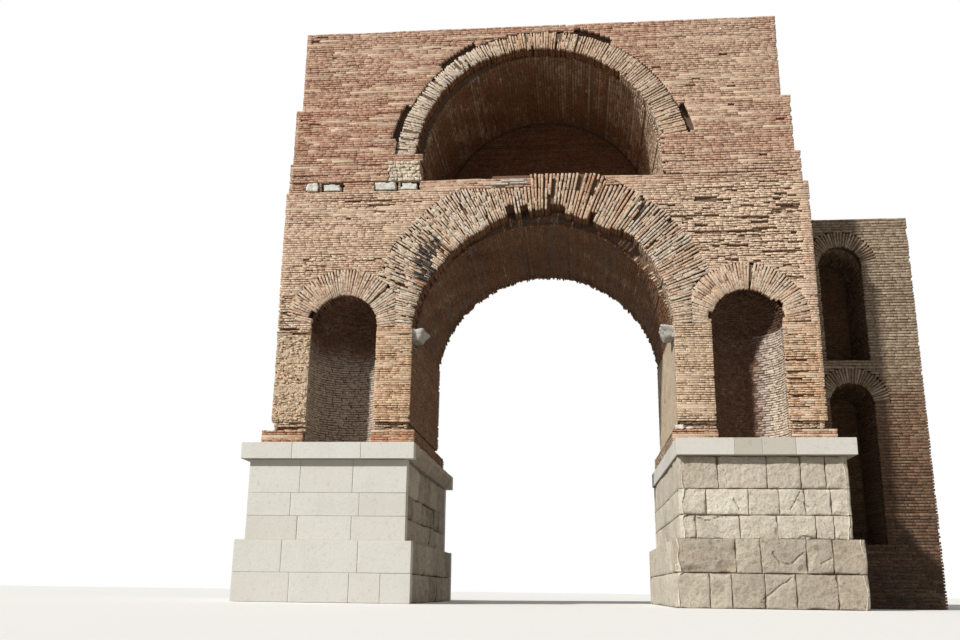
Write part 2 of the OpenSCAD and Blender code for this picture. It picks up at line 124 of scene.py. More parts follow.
class Value:
    """One output of a node, which takes part in sums."""

    def __init__(self, board, socket):
        self.board = board
        self.socket = socket

    __add__ = operator("ADD")
    __radd__ = operator("ADD", True)
    __rsub__ = operator("SUBTRACT", True)
    __sub__ = operator("SUBTRACT")
    __mul__ = operator("MULTIPLY")
    __rmul__ = operator("MULTIPLY", True)


class Board:
    """The nodes of a material or of the sky, which are added one by one."""

    def __init__(self, owner):
        owner.use_nodes = True
        self.tree = owner.node_tree
        self.tree.nodes.clear()

    def node(self, kind, settings=None, inputs=None, out=0):
        made = self.tree.nodes.new("ShaderNode" + kind)
        for key, setting in (settings or {}).items():
            if key == "stops":
                ramp = made.color_ramp.elements
                while len(ramp) < len(setting):
                    ramp.new(0.5)
                for stop, (position, colour) in zip(ramp, setting):
                    stop.position = position
                    stop.color = (*colour, 1.0)
            else:
                setattr(made, key, setting)
        for key, given in (inputs or {}).items():
            if isinstance(given, Value):
                self.tree.links.new(given.socket, made.inputs[key])
            else:
                made.inputs[key].default_value = given
        return Value(self, made.outputs[out]) if made.outputs else None


# %% A finish, and the one way to add a node to it
class Finish(Board):
    """A material that is built up node by node."""

    def __init__(self, name):
        self.material = bpy.data.materials.new(name)
        super().__init__(self.material)
        self.place = self.node("TexCoord", out="Object")

    def tone(self):
        """The number that each brick or stone carries, from 0, sooty, to 1, limed. Low numbers
        also paint shade: at the back ends of ring bricks, in the niches, in chips and cracks, and
        low on the wing.
        """
        return self.node("Attribute", {"attribute_name": "tone"}, out="Fac")

    def grain(self, scale, detail=3.0, rough=0.6):
        """Noise between 0 and 1, with its scale in features per metre."""
        return self.node("TexNoise", None, {"Vector": self.place, "Scale": scale,
                                            "Detail": detail, "Roughness": rough})

    def step(self, value, start, end):
        """0 below start, 1 above end, and a smooth rise between them."""
        return self.node("MapRange", {"interpolation_type": "SMOOTHSTEP"},
                         {0: value, 1: start, 2: end, 3: 0.0, 4: 1.0})

    def tint(self, share, first, second, how="MIX"):
        """The first colour with a share of the second mixed in."""
        pair = [(*c, 1.0) if isinstance(c, tuple) else c for c in (first, second)]
        return self.node("Mix", {"data_type": "RGBA", "blend_type": how},
                         {0: share, 6: pair[0], 7: pair[1]}, out=2)

    def close(self, colour, roughness, relief, height):
        """Joins colour, roughness and relief in the shader, and returns the material."""
        bump = self.node("Bump", None, {"Strength": 1.0, "Distance": height,
                                        "Height": relief})
        shader = self.node("BsdfPrincipled", None,
                           {"Base Color": colour, "Roughness": roughness, "Normal": bump})
        self.node("OutputMaterial", None, {"Surface": shader})
        return self.material


# %% [markdown]
# ## Brick, mortar and stone
# Fired clay is never one colour: each brick has its own tone, which is stored on the mesh as
# a number and turned into a colour by a ramp, from soot through the red of a fresh break to
# the cream of lime. Rain and dust wash over whole walls, so they are broad noise on top. The
# relief is fine grit.

# %% Brick finishes
def firing(red, green, blue):
    """The tones of one firing, from soot to lime wash, round its middle colour."""
    clay = np.array((red, green, blue))
    lime = np.array((0.74, 0.63, 0.49))
    return [(0.0, tuple(clay * (0.26, 0.22, 0.20))), (0.25, tuple(clay * (0.82, 0.62, 0.55))),
            (0.5, tuple(clay)), (0.75, tuple(0.55 * clay + 0.45 * lime)),
            (1.0, tuple(0.12 * clay + 0.88 * lime))]


def brick_finish(name, stops, stain, stain_share, dust_share=0.30, dust=(0.72, 0.57, 0.42)):
    work = Finish(name)
    body = work.node("ValToRGB", {"stops": stops}, {0: work.tone()})
    broad = work.grain(0.55, 4.0)
    patch = work.grain(3.1, 3.0)
    fine = work.grain(42.0, 3.0, 0.7)
    weathered = work.step(broad * 0.6 + patch * 0.4, 0.46, 0.66)
    body = work.tint(weathered * stain_share, body, stain)
    mottle = work.grain(15.0, 4.0, 0.75)
    limed = work.step(patch * 0.35 + mottle * 0.65, 0.52, 0.66)
    body = work.tint(limed * dust_share, body, dust)
    body = work.tint(work.step(mottle, 0.56, 0.36) * 0.80, body, (0.40, 0.31, 0.25), "MULTIPLY")
    return work.close(body, 0.93, mottle * 0.7 + fine * 0.3, 0.030)


attic_brick = brick_finish("attic_brick", firing(0.65, 0.425, 0.31), (0.45, 0.29, 0.21), 0.30)
spandrel_brick = brick_finish("spandrel_brick",
                              [*firing(0.76, 0.565, 0.42)[:3], (0.75, (0.88, 0.69, 0.53)),
                               (1.0, (0.87, 0.73, 0.57))], (0.58, 0.42, 0.31), 0.25)
pier_brick = brick_finish("pier_brick", firing(0.76, 0.53, 0.345), (0.60, 0.43, 0.29), 0.25)
foot_brick = brick_finish("foot_brick", firing(0.56, 0.29, 0.165), (0.44, 0.27, 0.17), 0.25)
arch_brick = brick_finish("arch_brick",
                          [(0.0, (0.05, 0.042, 0.036)), (0.16, (0.13, 0.10, 0.08)),
                           (0.28, (0.52, 0.28, 0.16)), (0.5, (0.66, 0.45, 0.31)),
                           (0.75, (0.67, 0.56, 0.44)), (1.0, (0.72, 0.67, 0.59))],
                          (0.52, 0.43, 0.33), 0.25)
vault_brick = brick_finish("vault_brick", firing(0.30, 0.16, 0.072), (0.15, 0.085, 0.045), 0.55,
                           0.3, (0.42, 0.28, 0.16))
wing_brick = brick_finish("wing_brick", firing(0.31, 0.225, 0.15), (0.23, 0.17, 0.11), 0.35, 0.2,
                          (0.40, 0.32, 0.23))
# The niche brick is greyer than the others, for the cool sky light in the shade of the niches:
# painted shade.
niche_brick = brick_finish("niche_brick",
                           [(0.0, (0.10, 0.045, 0.022)), (0.25, (0.24, 0.13, 0.08)),
                            (0.5, (0.45, 0.38, 0.35)), (0.75, (0.60, 0.52, 0.45)),
                            (1.0, (0.76, 0.65, 0.52))], (0.30, 0.22, 0.16), 0.2, 0.2)
print("brick finishes made")


# %% Mortar finishes
def mortar_finish(name, pale, dark):
    work = Finish(name)
    coarse = work.grain(2.2, 5.0)
    fine = work.grain(60.0, 4.0, 0.75)
    mixed = work.step(coarse * 0.4 + fine * 0.6, 0.38, 0.62) * 0.5 + work.tone() * 0.5
    return work.close(work.tint(mixed, dark, pale), 0.97, fine, 0.012)


mortar = mortar_finish("mortar", (0.76, 0.61, 0.45), (0.42, 0.29, 0.20))
wing_mortar = mortar_finish("wing_mortar", (0.36, 0.27, 0.18), (0.17, 0.12, 0.08))
# The dark mortar of the cores is partly the mortar's own colour and partly painted shade, so that
# deep joints and pockets read as shadowed.
dark_mortar = mortar_finish("dark_mortar", (0.26, 0.17, 0.11), (0.12, 0.075, 0.05))
plaster = mortar_finish("plaster", (0.64, 0.53, 0.39), (0.36, 0.27, 0.18))


# %% Stone finishes
def stone_finish(name, stops, stain, stain_share, pits, height, lumps, speck_share):
    work = Finish(name)
    body = work.node("ValToRGB", {"stops": stops}, {0: work.tone()})
    cloud = work.grain(1.3, 5.0)
    speckle = work.grain(lumps, 5.0, 0.75)
    pock = work.node("TexVoronoi", {"feature": "F1"}, {"Vector": work.place, "Scale": 22.0},
                     out="Distance")
    lump = work.grain(9.0, 4.0, 0.7)
    body = work.tint(work.step(cloud, 0.42, 0.72) * stain_share, body, stain)
    body = work.tint(work.step(speckle, 0.50, 0.72) * speck_share, body, stain)
    body = work.tint(work.step(lump, 0.46, 0.30) * speck_share, body, (0.55, 0.49, 0.42),
                     "MULTIPLY")
    hole = (1.0 - work.step(pock, 0.04, 0.22)) * work.step(lump, 0.40, 0.60) * pits
    body = work.tint(hole, body, (0.24, 0.19, 0.13))
    return work.close(body, 0.82, speckle * 0.5 + lump * 0.4 - hole, height)


new_limestone = stone_finish("new_limestone",
                             [(0.0, (0.40, 0.36, 0.29)), (0.3, (0.56, 0.53, 0.47)),
                              (0.6, (0.64, 0.63, 0.58)), (1.0, (0.67, 0.67, 0.64))],
                             (0.52, 0.49, 0.44), 0.25, 0.35, 0.014, 24.0, 0.25)
old_limestone = stone_finish("old_limestone",
                             [(0.0, (0.15, 0.11, 0.075)), (0.25, (0.42, 0.35, 0.27)),
                              (0.5, (0.60, 0.54, 0.44)), (0.75, (0.72, 0.67, 0.55)),
                              (1.0, (0.80, 0.77, 0.70))],
                             (0.36, 0.32, 0.26), 0.45, 0.8, 0.050, 22.0, 0.75)
marble = stone_finish("marble", [(0.0, (0.20, 0.19, 0.17)), (0.4, (0.48, 0.47, 0.43)),
                                 (0.7, (0.66, 0.65, 0.60)), (1.0, (0.78, 0.75, 0.68))],
                      (0.38, 0.37, 0.34), 0.45, 0.6, 0.040, 14.0, 0.5)
rubble_stone = stone_finish("rubble_stone", [(0.0, (0.22, 0.16, 0.10)),
                                             (0.5, (0.52, 0.43, 0.32)),
                                             (1.0, (0.76, 0.68, 0.54))],
                            (0.40, 0.34, 0.26), 0.45, 0.6, 0.040, 14.0, 0.5)
print("mortar and stone finishes made")


# %% [markdown]
# ## One brick
# All the bricks are copies of one, modelled here: a cube whose front face is drawn out a
# little and made smaller, which gives it the worn edge that catches the light. Ten faces
# are enough for a thing that is laid tens of thousands of times. Its corners are then read
# as signs, so that each copy can have a length, a height and a depth of its own.

# %% Model a brick and read it as a pattern
def select_only(piece=None):
    bpy.ops.object.select_all(action="DESELECT")
    if piece:
        piece.select_set(True)
        bpy.context.view_layer.objects.active = piece


def edit_faces(piece, chosen):
    """Edit mode on one piece, with those faces selected whose normal is chosen."""
    bpy.context.view_layer.objects.active = piece
    bpy.ops.object.mode_set(mode="EDIT")
    bpy.ops.mesh.select_mode(type="FACE")
    bpy.ops.mesh.select_all(action="DESELECT")
    shape = bmesh.from_edit_mesh(piece.data)
    for face in shape.faces:
        face.select = bool(chosen(face.normal))
    bmesh.update_edit_mesh(piece.data)


def read_and_drop(piece):
    """The corners and faces of a model as arrays, after which the model goes."""
    corners = np.array([tuple(v.co) for v in piece.data.vertices])
    faces = np.array([tuple(f.vertices) for f in piece.data.polygons])
    bpy.data.objects.remove(piece)
    return corners, faces


select_only()
bpy.ops.mesh.primitive_cube_add(size=2)
model_brick = bpy.context.object
edit_faces(model_brick, lambda normal: normal.y < -0.9)
bpy.ops.mesh.extrude_region_move(TRANSFORM_OT_translate={"value": (0, -1, 0)})
bpy.ops.transform.resize(value=(0.5, 1.0, 0.5))
bpy.ops.object.mode_set(mode="OBJECT")
BRICK, BRICK_FACES = read_and_drop(model_brick)
BRICK_FRONT = BRICK[:, 1] < -1.5
BRICK_BACK = BRICK[:, 1] > 0.5
BRICK_SIGN = np.sign(BRICK)
BRICK_CORNER = (BRICK[:, 0] > 0) * 2 + (BRICK[:, 2] > 0) * 1
print("brick:", len(BRICK), "corners,", len(BRICK_FACES), "faces")


# %% Make one piece of many bricks
def kept(piece, material):
    """Gives a finished piece its material and its body."""
    piece.data.materials.clear()
    piece.data.materials.append(material)
    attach(piece, "root")
    return piece


triangles = [0]


def piece_of(name, points, faces, tones, material):
    """A mesh of four-sided faces from arrays, with one tone for each point."""
    points = np.clip(points, np.array(cad_low), np.array(cad_high))
    mesh = bpy.data.meshes.new(name)
    mesh.vertices.add(len(points))
    mesh.vertices.foreach_set("co", points.astype(np.float32).ravel())
    mesh.loops.add(faces.size)
    mesh.loops.foreach_set("vertex_index", faces.astype(np.int32).ravel())
    mesh.polygons.add(len(faces))
    mesh.polygons.foreach_set("loop_start", np.arange(0, faces.size, 4, dtype=np.int32))
    mesh.update(calc_edges=True)
    tone = mesh.attributes.new("tone", "FLOAT", "POINT")
    tone.data.foreach_set("value", np.clip(tones, 0, 1).astype(np.float32))
    piece = bpy.data.objects.new(name, mesh)
    bpy.context.scene.collection.objects.link(piece)
    triangles[0] += 2 * len(faces)
    print(name, 2 * len(faces), "triangles,", triangles[0], "so far")
    return kept(piece, material)


def make_bricks(name, rows, material, seed, ragged=0.003, back_shade=0.0):
    """Copies of the model brick. A row is face, inward, up, half length, half height,
    depth and tone; the brick's length runs along inward x up, and its back end may be
    darkened as painted shade under a ring."""
    rng = np.random.default_rng(seed)
    rows = np.array(rows)
    count = len(rows)
    face, inward, up = rows[:, 0:3], rows[:, 3:6], rows[:, 6:9]
    along = np.cross(inward, up)
    worn = rng.uniform(0.003, 0.009, count)
    shift = rng.normal(0, ragged, (count, 4, 3))
    shift[:, :, 2] = np.abs(shift[:, :, 2])
    shift = shift[:, BRICK_CORNER, :] * ~BRICK_BACK[None, :, None]
    inset = worn[:, None] * BRICK_FRONT[None, :]
    reach = np.where(BRICK_FRONT, 0.0, worn[:, None])
    reach = np.where(BRICK_BACK, rows[:, 11:12], reach)
    across = BRICK_SIGN[:, 0] * (rows[:, 9:10] - inset) + shift[:, :, 0]
    above = BRICK_SIGN[:, 2] * (rows[:, 10:11] - inset) + shift[:, :, 1]
    points = (face[:, None] + along[:, None] * across[..., None]
              + up[:, None] * above[..., None]
              + inward[:, None] * (reach + shift[:, :, 2])[..., None])
    points[:, :, 0] += AXIS
    faces = BRICK_FACES[None] + np.arange(count)[:, None, None] * len(BRICK)
    # The back end of each brick is darkened towards tone 0: painted shade on the undersides of the
    # rings and deep in their joints.
    tones = rows[:, 12:13] * np.where(BRICK_BACK, 1.0 - back_shade, 1.0)
    return piece_of(name, points.reshape(-1, 3), faces.reshape(-1, 4), tones.ravel(),
                    material)


# %% [markdown]
# ## The core
# Behind the bricks is the wall's own mass. Each brick solid is copied, merged, and drawn in
# by the depth of a joint, so that its surface becomes the mortar between the bricks. A level
# face that touches the next storey keeps its height, or a slit would open there.

# %% Draw a solid in and give it mortar
def core(node, inset, material=dark_mortar, keep_low=True, keep_high=True):
    """A copy of a solid, drawn in on all sides but its lowest or highest level."""
    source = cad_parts[node]
    piece = source.copy()
    piece.data = source.data.copy()
    piece.name = node + "_core"
    piece.hide_render = False
    for key in list(piece.keys()):
        if key.startswith("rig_"):
            del piece[key]
    piece.parent = None
    bpy.context.scene.collection.objects.link(piece)
    select_only(piece)
    edit_faces(piece, lambda normal: True)
    bpy.ops.mesh.remove_doubles(threshold=0.0001)
    bpy.ops.object.mode_set(mode="OBJECT")
    starts = [v.co.copy() for v in piece.data.vertices]
    bottom, top = min(v.z for v in starts), max(v.z for v in starts)
    bpy.ops.object.mode_set(mode="EDIT")
    bpy.ops.mesh.select_all(action="SELECT")
    bpy.ops.transform.shrink_fatten(value=-inset, use_even_offset=True)
    bpy.ops.object.mode_set(mode="OBJECT")
    for vertex, start in zip(piece.data.vertices, starts):
        moved = vertex.co - start
        if moved.length > 2 * inset:
            vertex.co = start + moved * (2 * inset / moved.length)
        at_low = keep_low and start.z < bottom + 0.001
        if at_low or (keep_high and start.z > top - 0.001):
            vertex.co.z = start.z
    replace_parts(piece, node)
    return kept(piece, material)


def widen(piece, centre, centre_z, radius):
    """Moves the corners under a round outward to a wider round."""
    for vertex in piece.data.vertices:
        x, z = vertex.co.x - AXIS - centre, vertex.co.z - centre_z
        reach = math.hypot(x, z)
        if 0.1 < reach < radius:
            vertex.co.x += x * (radius / reach - 1)
            vertex.co.z += max(z, 0.0) * (radius / reach - 1)


def sink(piece, axis, plane, amount):
    """Moves the corners that lie near a plane further in."""
    for vertex in piece.data.vertices:
        if abs(vertex.co[axis] - plane) < 0.025:
            vertex.co[axis] += amount


# %% Draw in the cores of the brickwork
JOINT = 0.030
RING_JOINT = 0.06
WING_JOINT = 0.04
DEEP = 0.09
for node in ("left_brick_foot", "right_brick_foot", "left_ledge_band", "right_ledge_band",
             "left_string_band", "right_string_band", "left_attic_wall", "right_attic_wall",
             "attic_top_wall"):
    sink(core(node, JOINT, keep_high=node != "attic_top_wall"), 1, low(node).y + JOINT, DEEP)
core("recess_floor", JOINT, mortar, keep_high=False)
for node in ("left_pier", "right_pier", "left_spandrel", "right_spandrel"):
    wall = core(node, JOINT)
    for plane in (WALL_Y, WALL_Y - 0.06):
        sink(wall, 1, JOINT - plane, DEEP)
# The ring cores take the dark mortar too: mortar, and painted shade in the pockets under the
# rings.
for name, round_z, radius, joint in (("main", RING_Z, RING_IN + 0.26, 0.10),
                                     ("recess", RECESS_Z, RECESS_R + 0.30, RING_JOINT)):
    widen(core(name + "_ring_front", joint), 0, round_z, radius)
    core(name + "_ring_back", RING_JOINT)
for face in ("front", "back"):
    for side, name in ((-1, "left"), (1, "right")):
        ring_core = core(name + "_niche_ring_" + face, RING_JOINT)
        if face == "front":
            widen(ring_core, side * NICHE_OUT, IMPOST, NICHE_R + 0.22)
for node in ("main_vault", "recess_vault", "recess_back_wall"):
    core(node, JOINT)
core("wing_lower_wall", WING_JOINT, wing_mortar)
core("wing_upper_wall", WING_JOINT, wing_mortar, keep_high=False)
for node in ("wing_lower_ring", "wing_upper_ring"):
    core(node, WING_JOINT)
core("wing_back_wall", 0.02, keep_high=False)
print("cores drawn in")


# %% [markdown]
# ## Laying courses
# A bricklayer fills a course from end to end, cuts the last brick, and starts the next one
# with another cut, so that upright joints never meet. The same is done here in numbers: the
# stretches that doors, arches and white blocks leave free are filled with bricks of uneven
# length. Each course has its own tone and its own slow waver, because courses are what the
# eye reads from the ground. Where the face was eroded, bricks lie deeper, lean, or are gone.

# %% Courses and the stretches that are left free
def free_stretches(start, end, holes):
    stretches = [(start, end)]
    for hole_start, hole_end in holes:
        stretches = [part for a, b in stretches
                     for part in ((a, min(b, hole_start)), (max(a, hole_end), b))
                     if part[1] - part[0] > 0.03]
    return stretches


def chord(height, centre, centre_z, radius):
    """The stretch that a circle takes out of a course, as a list of one or none."""
    square = radius ** 2 - (height - centre_z) ** 2
    return [(centre - math.sqrt(square), centre + math.sqrt(square))] if square > 0 else []


def round_head(z, centre, springing, radius):
    """The stretch that an opening with a round head takes out of a course."""
    return ([(centre - radius, centre + radius)] if z < springing
            else chord(z, centre, springing, radius))


def course_heights(bottom, top, pitch):
    count = max(1, round((top - bottom) / pitch))
    step = (top - bottom) / count
    return [bottom + (i + 0.5) * step for i in range(count)], step


def uneven(start, end, lead, lengths, smallest, rng):
    """Bricks of uneven length from start to end. The first one began up to lead before it."""
    x = start - rng.uniform(0, lead)
    while x < end:
        size = rng.uniform(*lengths)
        a, b = max(x, start), min(x + size, end)
        x += size
        if b - a >= smallest:
            yield a, b


def drift_of(seed, size):
    """A slow variation between about -1 and 1 over lengths of about one size."""
    rng = np.random.default_rng(seed)
    waves = list(zip(rng.uniform(0, 6.28, 5), rng.uniform(0, 6.28, 5),
                     rng.uniform(2.1, 6.6, 5) / size))

    def field(x, z):
        return sum(math.sin((x * math.cos(a) + z * math.sin(a)) * f + p)
                   for a, p, f in waves) / 3
    return field


tone_drift, patch_drift, face_drift = drift_of(5, 4.0), drift_of(6, 1.2), drift_of(7, 2.5)


def at(value, *place):
    """What is given as a number stays so, and what is given as a function is asked."""
    return value(*place) if callable(value) else value


def graph(places, values):
    """A function of the first number it is given, drawn as straight stretches."""
    return lambda place, *rest: np.interp(place, places, values)


def mild_wear(x, z):
    return 0.10 + 0.15 * max(0.0, patch_drift(x, z))


# %% Lay the bricks of one face
SHORT, LONG = (0.19, 0.31), (0.24, 0.38)
SMALLEST = 0.035
BRICK_DEPTH = 0.12
SCATTER, HOLLOW = 0.018, 0.12
CORE_HIDDEN = 0.1


def lay(rows, plane, inward, stretches, bottom, top, pitch, rng, tone=0.5, wear=mild_wear,
        lengths=LONG, spread=0.035, beds=None, deepest=0.024):
    """Fills the free stretches of every course of one upright face with bricks. Stretches of
    a course share their fate, a number from 0 to 1 that says how far they are worn away. A
    brick deeper than the deepest has fallen out, or is moved forward where the core would show."""
    heights, step = course_heights(bottom, top, pitch)
    along_y = abs(inward[0]) > 0.5

    def on_face(place, z, back):
        flat = (plane, place) if along_y else (place, plane)
        return (flat[0] + inward[0] * back, flat[1] + inward[1] * back, z)

    for z in heights:
        course_tone = 0.04 * rng.normal()
        course_back = abs(rng.normal(0, 0.006))
        for start, end in stretches(z):
            ends, fates = [0.0], []
            while ends[-1] < end - start + 1.0:
                ends.append(ends[-1] + rng.uniform(0.2, 1.0))
                fates.append(rng.random())
            x = start - rng.uniform(0.0, 0.2)
            k = 0
            while x < end:
                while x - start > ends[k + 1]:
                    k += 1
                rough = at(wear, x + 0.1, z)
                size = rng.uniform(*lengths) * (1.0 - 0.4 * rough)
                a, b = max(x, start), min(x + size, end)
                x += size
                if b - a < SMALLEST:
                    continue
                middle = 0.5 * (a + b)
                hollow = max(0.0, fates[k] - 0.45) / 0.55
                back = (0.001 + 0.003 * (1 + face_drift(middle, z)) + course_back
                        + 0.006 * rng.random() + rough * abs(rng.normal(0, SCATTER))
                        + HOLLOW * rough * hollow ** 2)
                if rng.random() < 0.006 + 0.09 * rough:
                    back += rng.uniform(0.02, 0.06)
                if back > deepest:
                    if deepest > CORE_HIDDEN:
                        continue
                    back = deepest * rng.random()
                hue = at(tone, middle, z)
                hue += (spread * (1 + 2 * rough) * rng.normal() + course_tone
                        + 0.05 * tone_drift(middle, z) + 0.04 * patch_drift(middle, z))
                if rough > 0.3 and rng.random() < 0.6 * rough:
                    hue = rng.uniform(0.7, 1.0)
                bed = 0.016 + 0.010 * hollow + 0.014 * rough * rng.random()
                lean = 0.05 * rough * rng.normal()
                up = (0, lean, 1) if along_y else (lean, 0, 1)
                rows.append((*on_face(middle, z + 0.004 * rough * rng.normal(), back), *inward,
                             *up, 0.5 * (b - a) - 0.5 * rng.uniform(0.003, 0.014),
                             0.5 * (step - bed), BRICK_DEPTH, hue))
            while beds is not None and start < end:
                reach = start + rng.uniform(0.2, 0.9)
                reach = end if end - reach < 0.2 else reach
                middle = 0.5 * (start + reach)
                rough = at(wear, middle, z)
                if rng.random() > 0.62 + 0.3 * rough:
                    beds.append((*on_face(middle, z, 0.010 + 0.014 * rng.random() + 0.04 * rough),
                                 *inward, 0, 0, 1, 0.5 * (reach - start), 0.5 * step, 0.09,
                                 0.65 + 0.25 * rng.normal()))
                start = reach


# %% [markdown]
# ## The walls
# The front shows the courses of nine levels, one above the other. Each level has its own
# width, its own set-back, and a course height that was measured on the building: 57 mm in
# the piers, 60 mm beside the arch, and 61 to 66 mm in the attic.

# %% Holes in the front and back
# The torn slots beside the recess ring, from one angle to another
SLOTS = ((8, 20), (60, 76), (118, 135), (156, 172))
SLOT_R = RECESS_RING_R + 0.14
LEDGE_STONES = ((-6.10, -5.75), (-5.70, -5.11), (-4.31, -3.67), (-3.62, -3.12))
STONE_TOP = high("ledge_blocks").z
SPRINGER = (low("springer_block").x - AXIS, high("springer_block").x - AXIS)
CROWN = (-0.25, 1.62)
CROWN_TOP = high("main_ring_front").z
LOWEST_SPOKE = math.radians(12)
# The heights at which a crack runs down the left of the main ring
CRACK_WIDTH = 0.055
CRACKED = ((8.48, 8.93), (9.50, 10.03))
RUBBLE_TOP = 6.38


def arch_holes(z, front):
    if z < IMPOST:
        niches = [(side * NICHE_OUT - NICHE_R, side * NICHE_OUT + NICHE_R) for side in (-1, 1)]
        if front and SCAR_TOP < z < RUBBLE_TOP:
            niches[0] = (-7.0, niches[0][1])
        return niches
    if front and z > LEDGE:
        return [CROWN]
    crack = CRACK_WIDTH * any(start < z < end for start, end in CRACKED)
    holes = [(a - crack, b) for a, b in chord(z, 0, RING_Z, MAIN_R - 0.045)]
    holes += chord(z, NICHE_OUT, IMPOST, NICHE_RING_R - 0.03)
    for a, b in chord(z, -NICHE_OUT, IMPOST, NICHE_RING_R - 0.03):
        if front:
            a = max(a, -NICHE_OUT - max(NICHE_R, (z - IMPOST) / math.tan(LOWEST_SPOKE)))
        holes.append((a, b))
    return holes


def recess_holes(z, front):
    if z < FLOOR:
        return []
    if z < RECESS_Z:
        return [(-RECESS_R, RECESS_R)]
    inner = chord(z, 0, RECESS_Z, RECESS_R)
    outer = chord(z, 0, RECESS_RING_Z, RECESS_RING_R - 0.015)
    left = inner if z < 11.25 else outer
    right = inner if z < 11.60 else outer
    holes = [(left[0][0], right[0][1])] if outer else []
    rise = z - RECESS_Z
    square = SLOT_R ** 2 - (z - RECESS_RING_Z) ** 2
    for first, last in SLOTS if front and square > 0 else ():
        side = 1 if last < 90 else -1
        near, far = (first, last) if side > 0 else (180 - last, 180 - first)
        inner_x = rise / math.tan(math.radians(far))
        outer_x = min(rise / math.tan(math.radians(near)), math.sqrt(square))
        if outer_x > inner_x:
            holes.append(tuple(sorted((side * inner_x, side * outer_x))))
    return holes


def face_holes(z, front):
    holes = arch_holes(z, front) if z < (CROWN_TOP if front else FLOOR) else []
    holes += recess_holes(z, front) if z > LEDGE else []
    if front and LEDGE < z < STONE_TOP:
        holes += LEDGE_STONES
    if front and LEDGE_TOP < z < STRING_TOP:
        holes.append(SPRINGER)
    if front and LEDGE_TOP < z < RECESS_Z + 0.5 and math.sin(z * 24.0) > 0.45:
        holes.append((RECESS_R - 0.1, RECESS_R + 0.085))  # toothed like the ring beside it
    return holes


# %% Where the facing is eroded
# Each eroded place has a middle, its half width and half height, and a strength
ROUGH = [(5.1, 9.15, 1.30, 0.95, 1.0), (6.0, 8.6, 0.35, 1.1, 0.9), (3.95, 9.55, 0.7, 0.45, 0.9),
         (-6.25, 5.3, 0.62, 1.15, 1.0), (5.85, 5.2, 0.35, 1.3, 0.6), (-6.3, 6.75, 0.4, 0.5, 0.8),
         (-5.0, 8.35, 0.9, 0.10, 0.7), (-5.9, 8.05, 0.35, 0.12, 0.9), (-4.6, 9.85, 0.8, 0.12, 0.6)]


def front_wear(x, z):
    worst = 0.08 + 0.08 * max(0.0, patch_drift(x, z))
    if LEDGE < z < STRING_TOP:
        worst += 0.16
    for cx, cz, rx, rz, strength in ROUGH:
        away = ((x - cx) / rx) ** 2 + ((z - cz) / rz) ** 2
        if away < 2.2:
            worst = max(worst, strength * min(1.0, 1.7 - 0.75 * away))
    if x > 6.33 and z > IMPOST:
        worst = 0.04
    return min(worst, 1.0)


PALER = ((2.9, 4.1, SCAR_TOP, IMPOST, 0.22), (3.0, 6.4, IMPOST, LEDGE, 0.20),
         (-8.0, -3.0, STRING_TOP, LOW_TOP, -0.07), (3.0, 8.0, LOW_TOP, TOP, 0.10),
         (3.0, 8.0, LEDGE, STRING_TOP, 0.12))


def weathered(tone):
    """The tone of a level, changed where a part of the front is paler or darker."""
    return lambda x, z: tone + sum(more for left, right, bottom, top, more in PALER
                                   if left < x < right and bottom < z < top)


# %% Lay the nine levels of the walls
def reach_of(node, side):
    """How far a node reaches from the axis to one side."""
    return AXIS - low(node).x if side < 0 else high(node).x - AXIS


LEVELS = [("left_foot", "left_brick_foot", None, LEFT_CAP, FOOT_TOP, 0.057, 0.48, foot_brick),
          ("right_foot", None, "right_brick_foot", RIGHT_CAP, FOOT_TOP, 0.057, 0.55, foot_brick),
          ("scar", "left_pier", "right_pier", FOOT_TOP, SCAR_TOP, 0.055, 0.75, pier_brick),
          ("pier", "left_pier", "right_pier", SCAR_TOP, IMPOST, 0.057, 0.5, pier_brick),
          ("spandrel", "left_spandrel", "right_spandrel", IMPOST, LEDGE, 0.060, 0.52,
           spandrel_brick),
          ("ledge", "left_ledge_band", "right_ledge_band", LEDGE, LEDGE_TOP, 0.065, 0.50,
           attic_brick),
          ("string", "left_string_band", "right_string_band", LEDGE_TOP, STRING_TOP, 0.066,
           0.48, attic_brick),
          ("attic_low", "left_attic_wall", "right_attic_wall", STRING_TOP, LOW_TOP, 0.064,
           0.50, attic_brick),
          ("attic_top", "attic_top_wall", "attic_top_wall", LOW_TOP, TOP, 0.061, 0.50,
           attic_brick)]
INNER = {"left_foot": PASSAGE - 0.15, "right_foot": PASSAGE - 0.15, "scar": PASSAGE + 0.06}
WORN = {"left_foot": 0.0, "right_foot": 0.0, "scar": 0.85}
GROOVES = {"ledge": 0.028, "string": 0.028, "attic_low": 0.028}
WING_FRONT, WING_BACK = low("wing_upper_wall").y, high("wing_back_wall").y
WING_TOP = high("wing_upper_wall").z
CORNER = 0.11
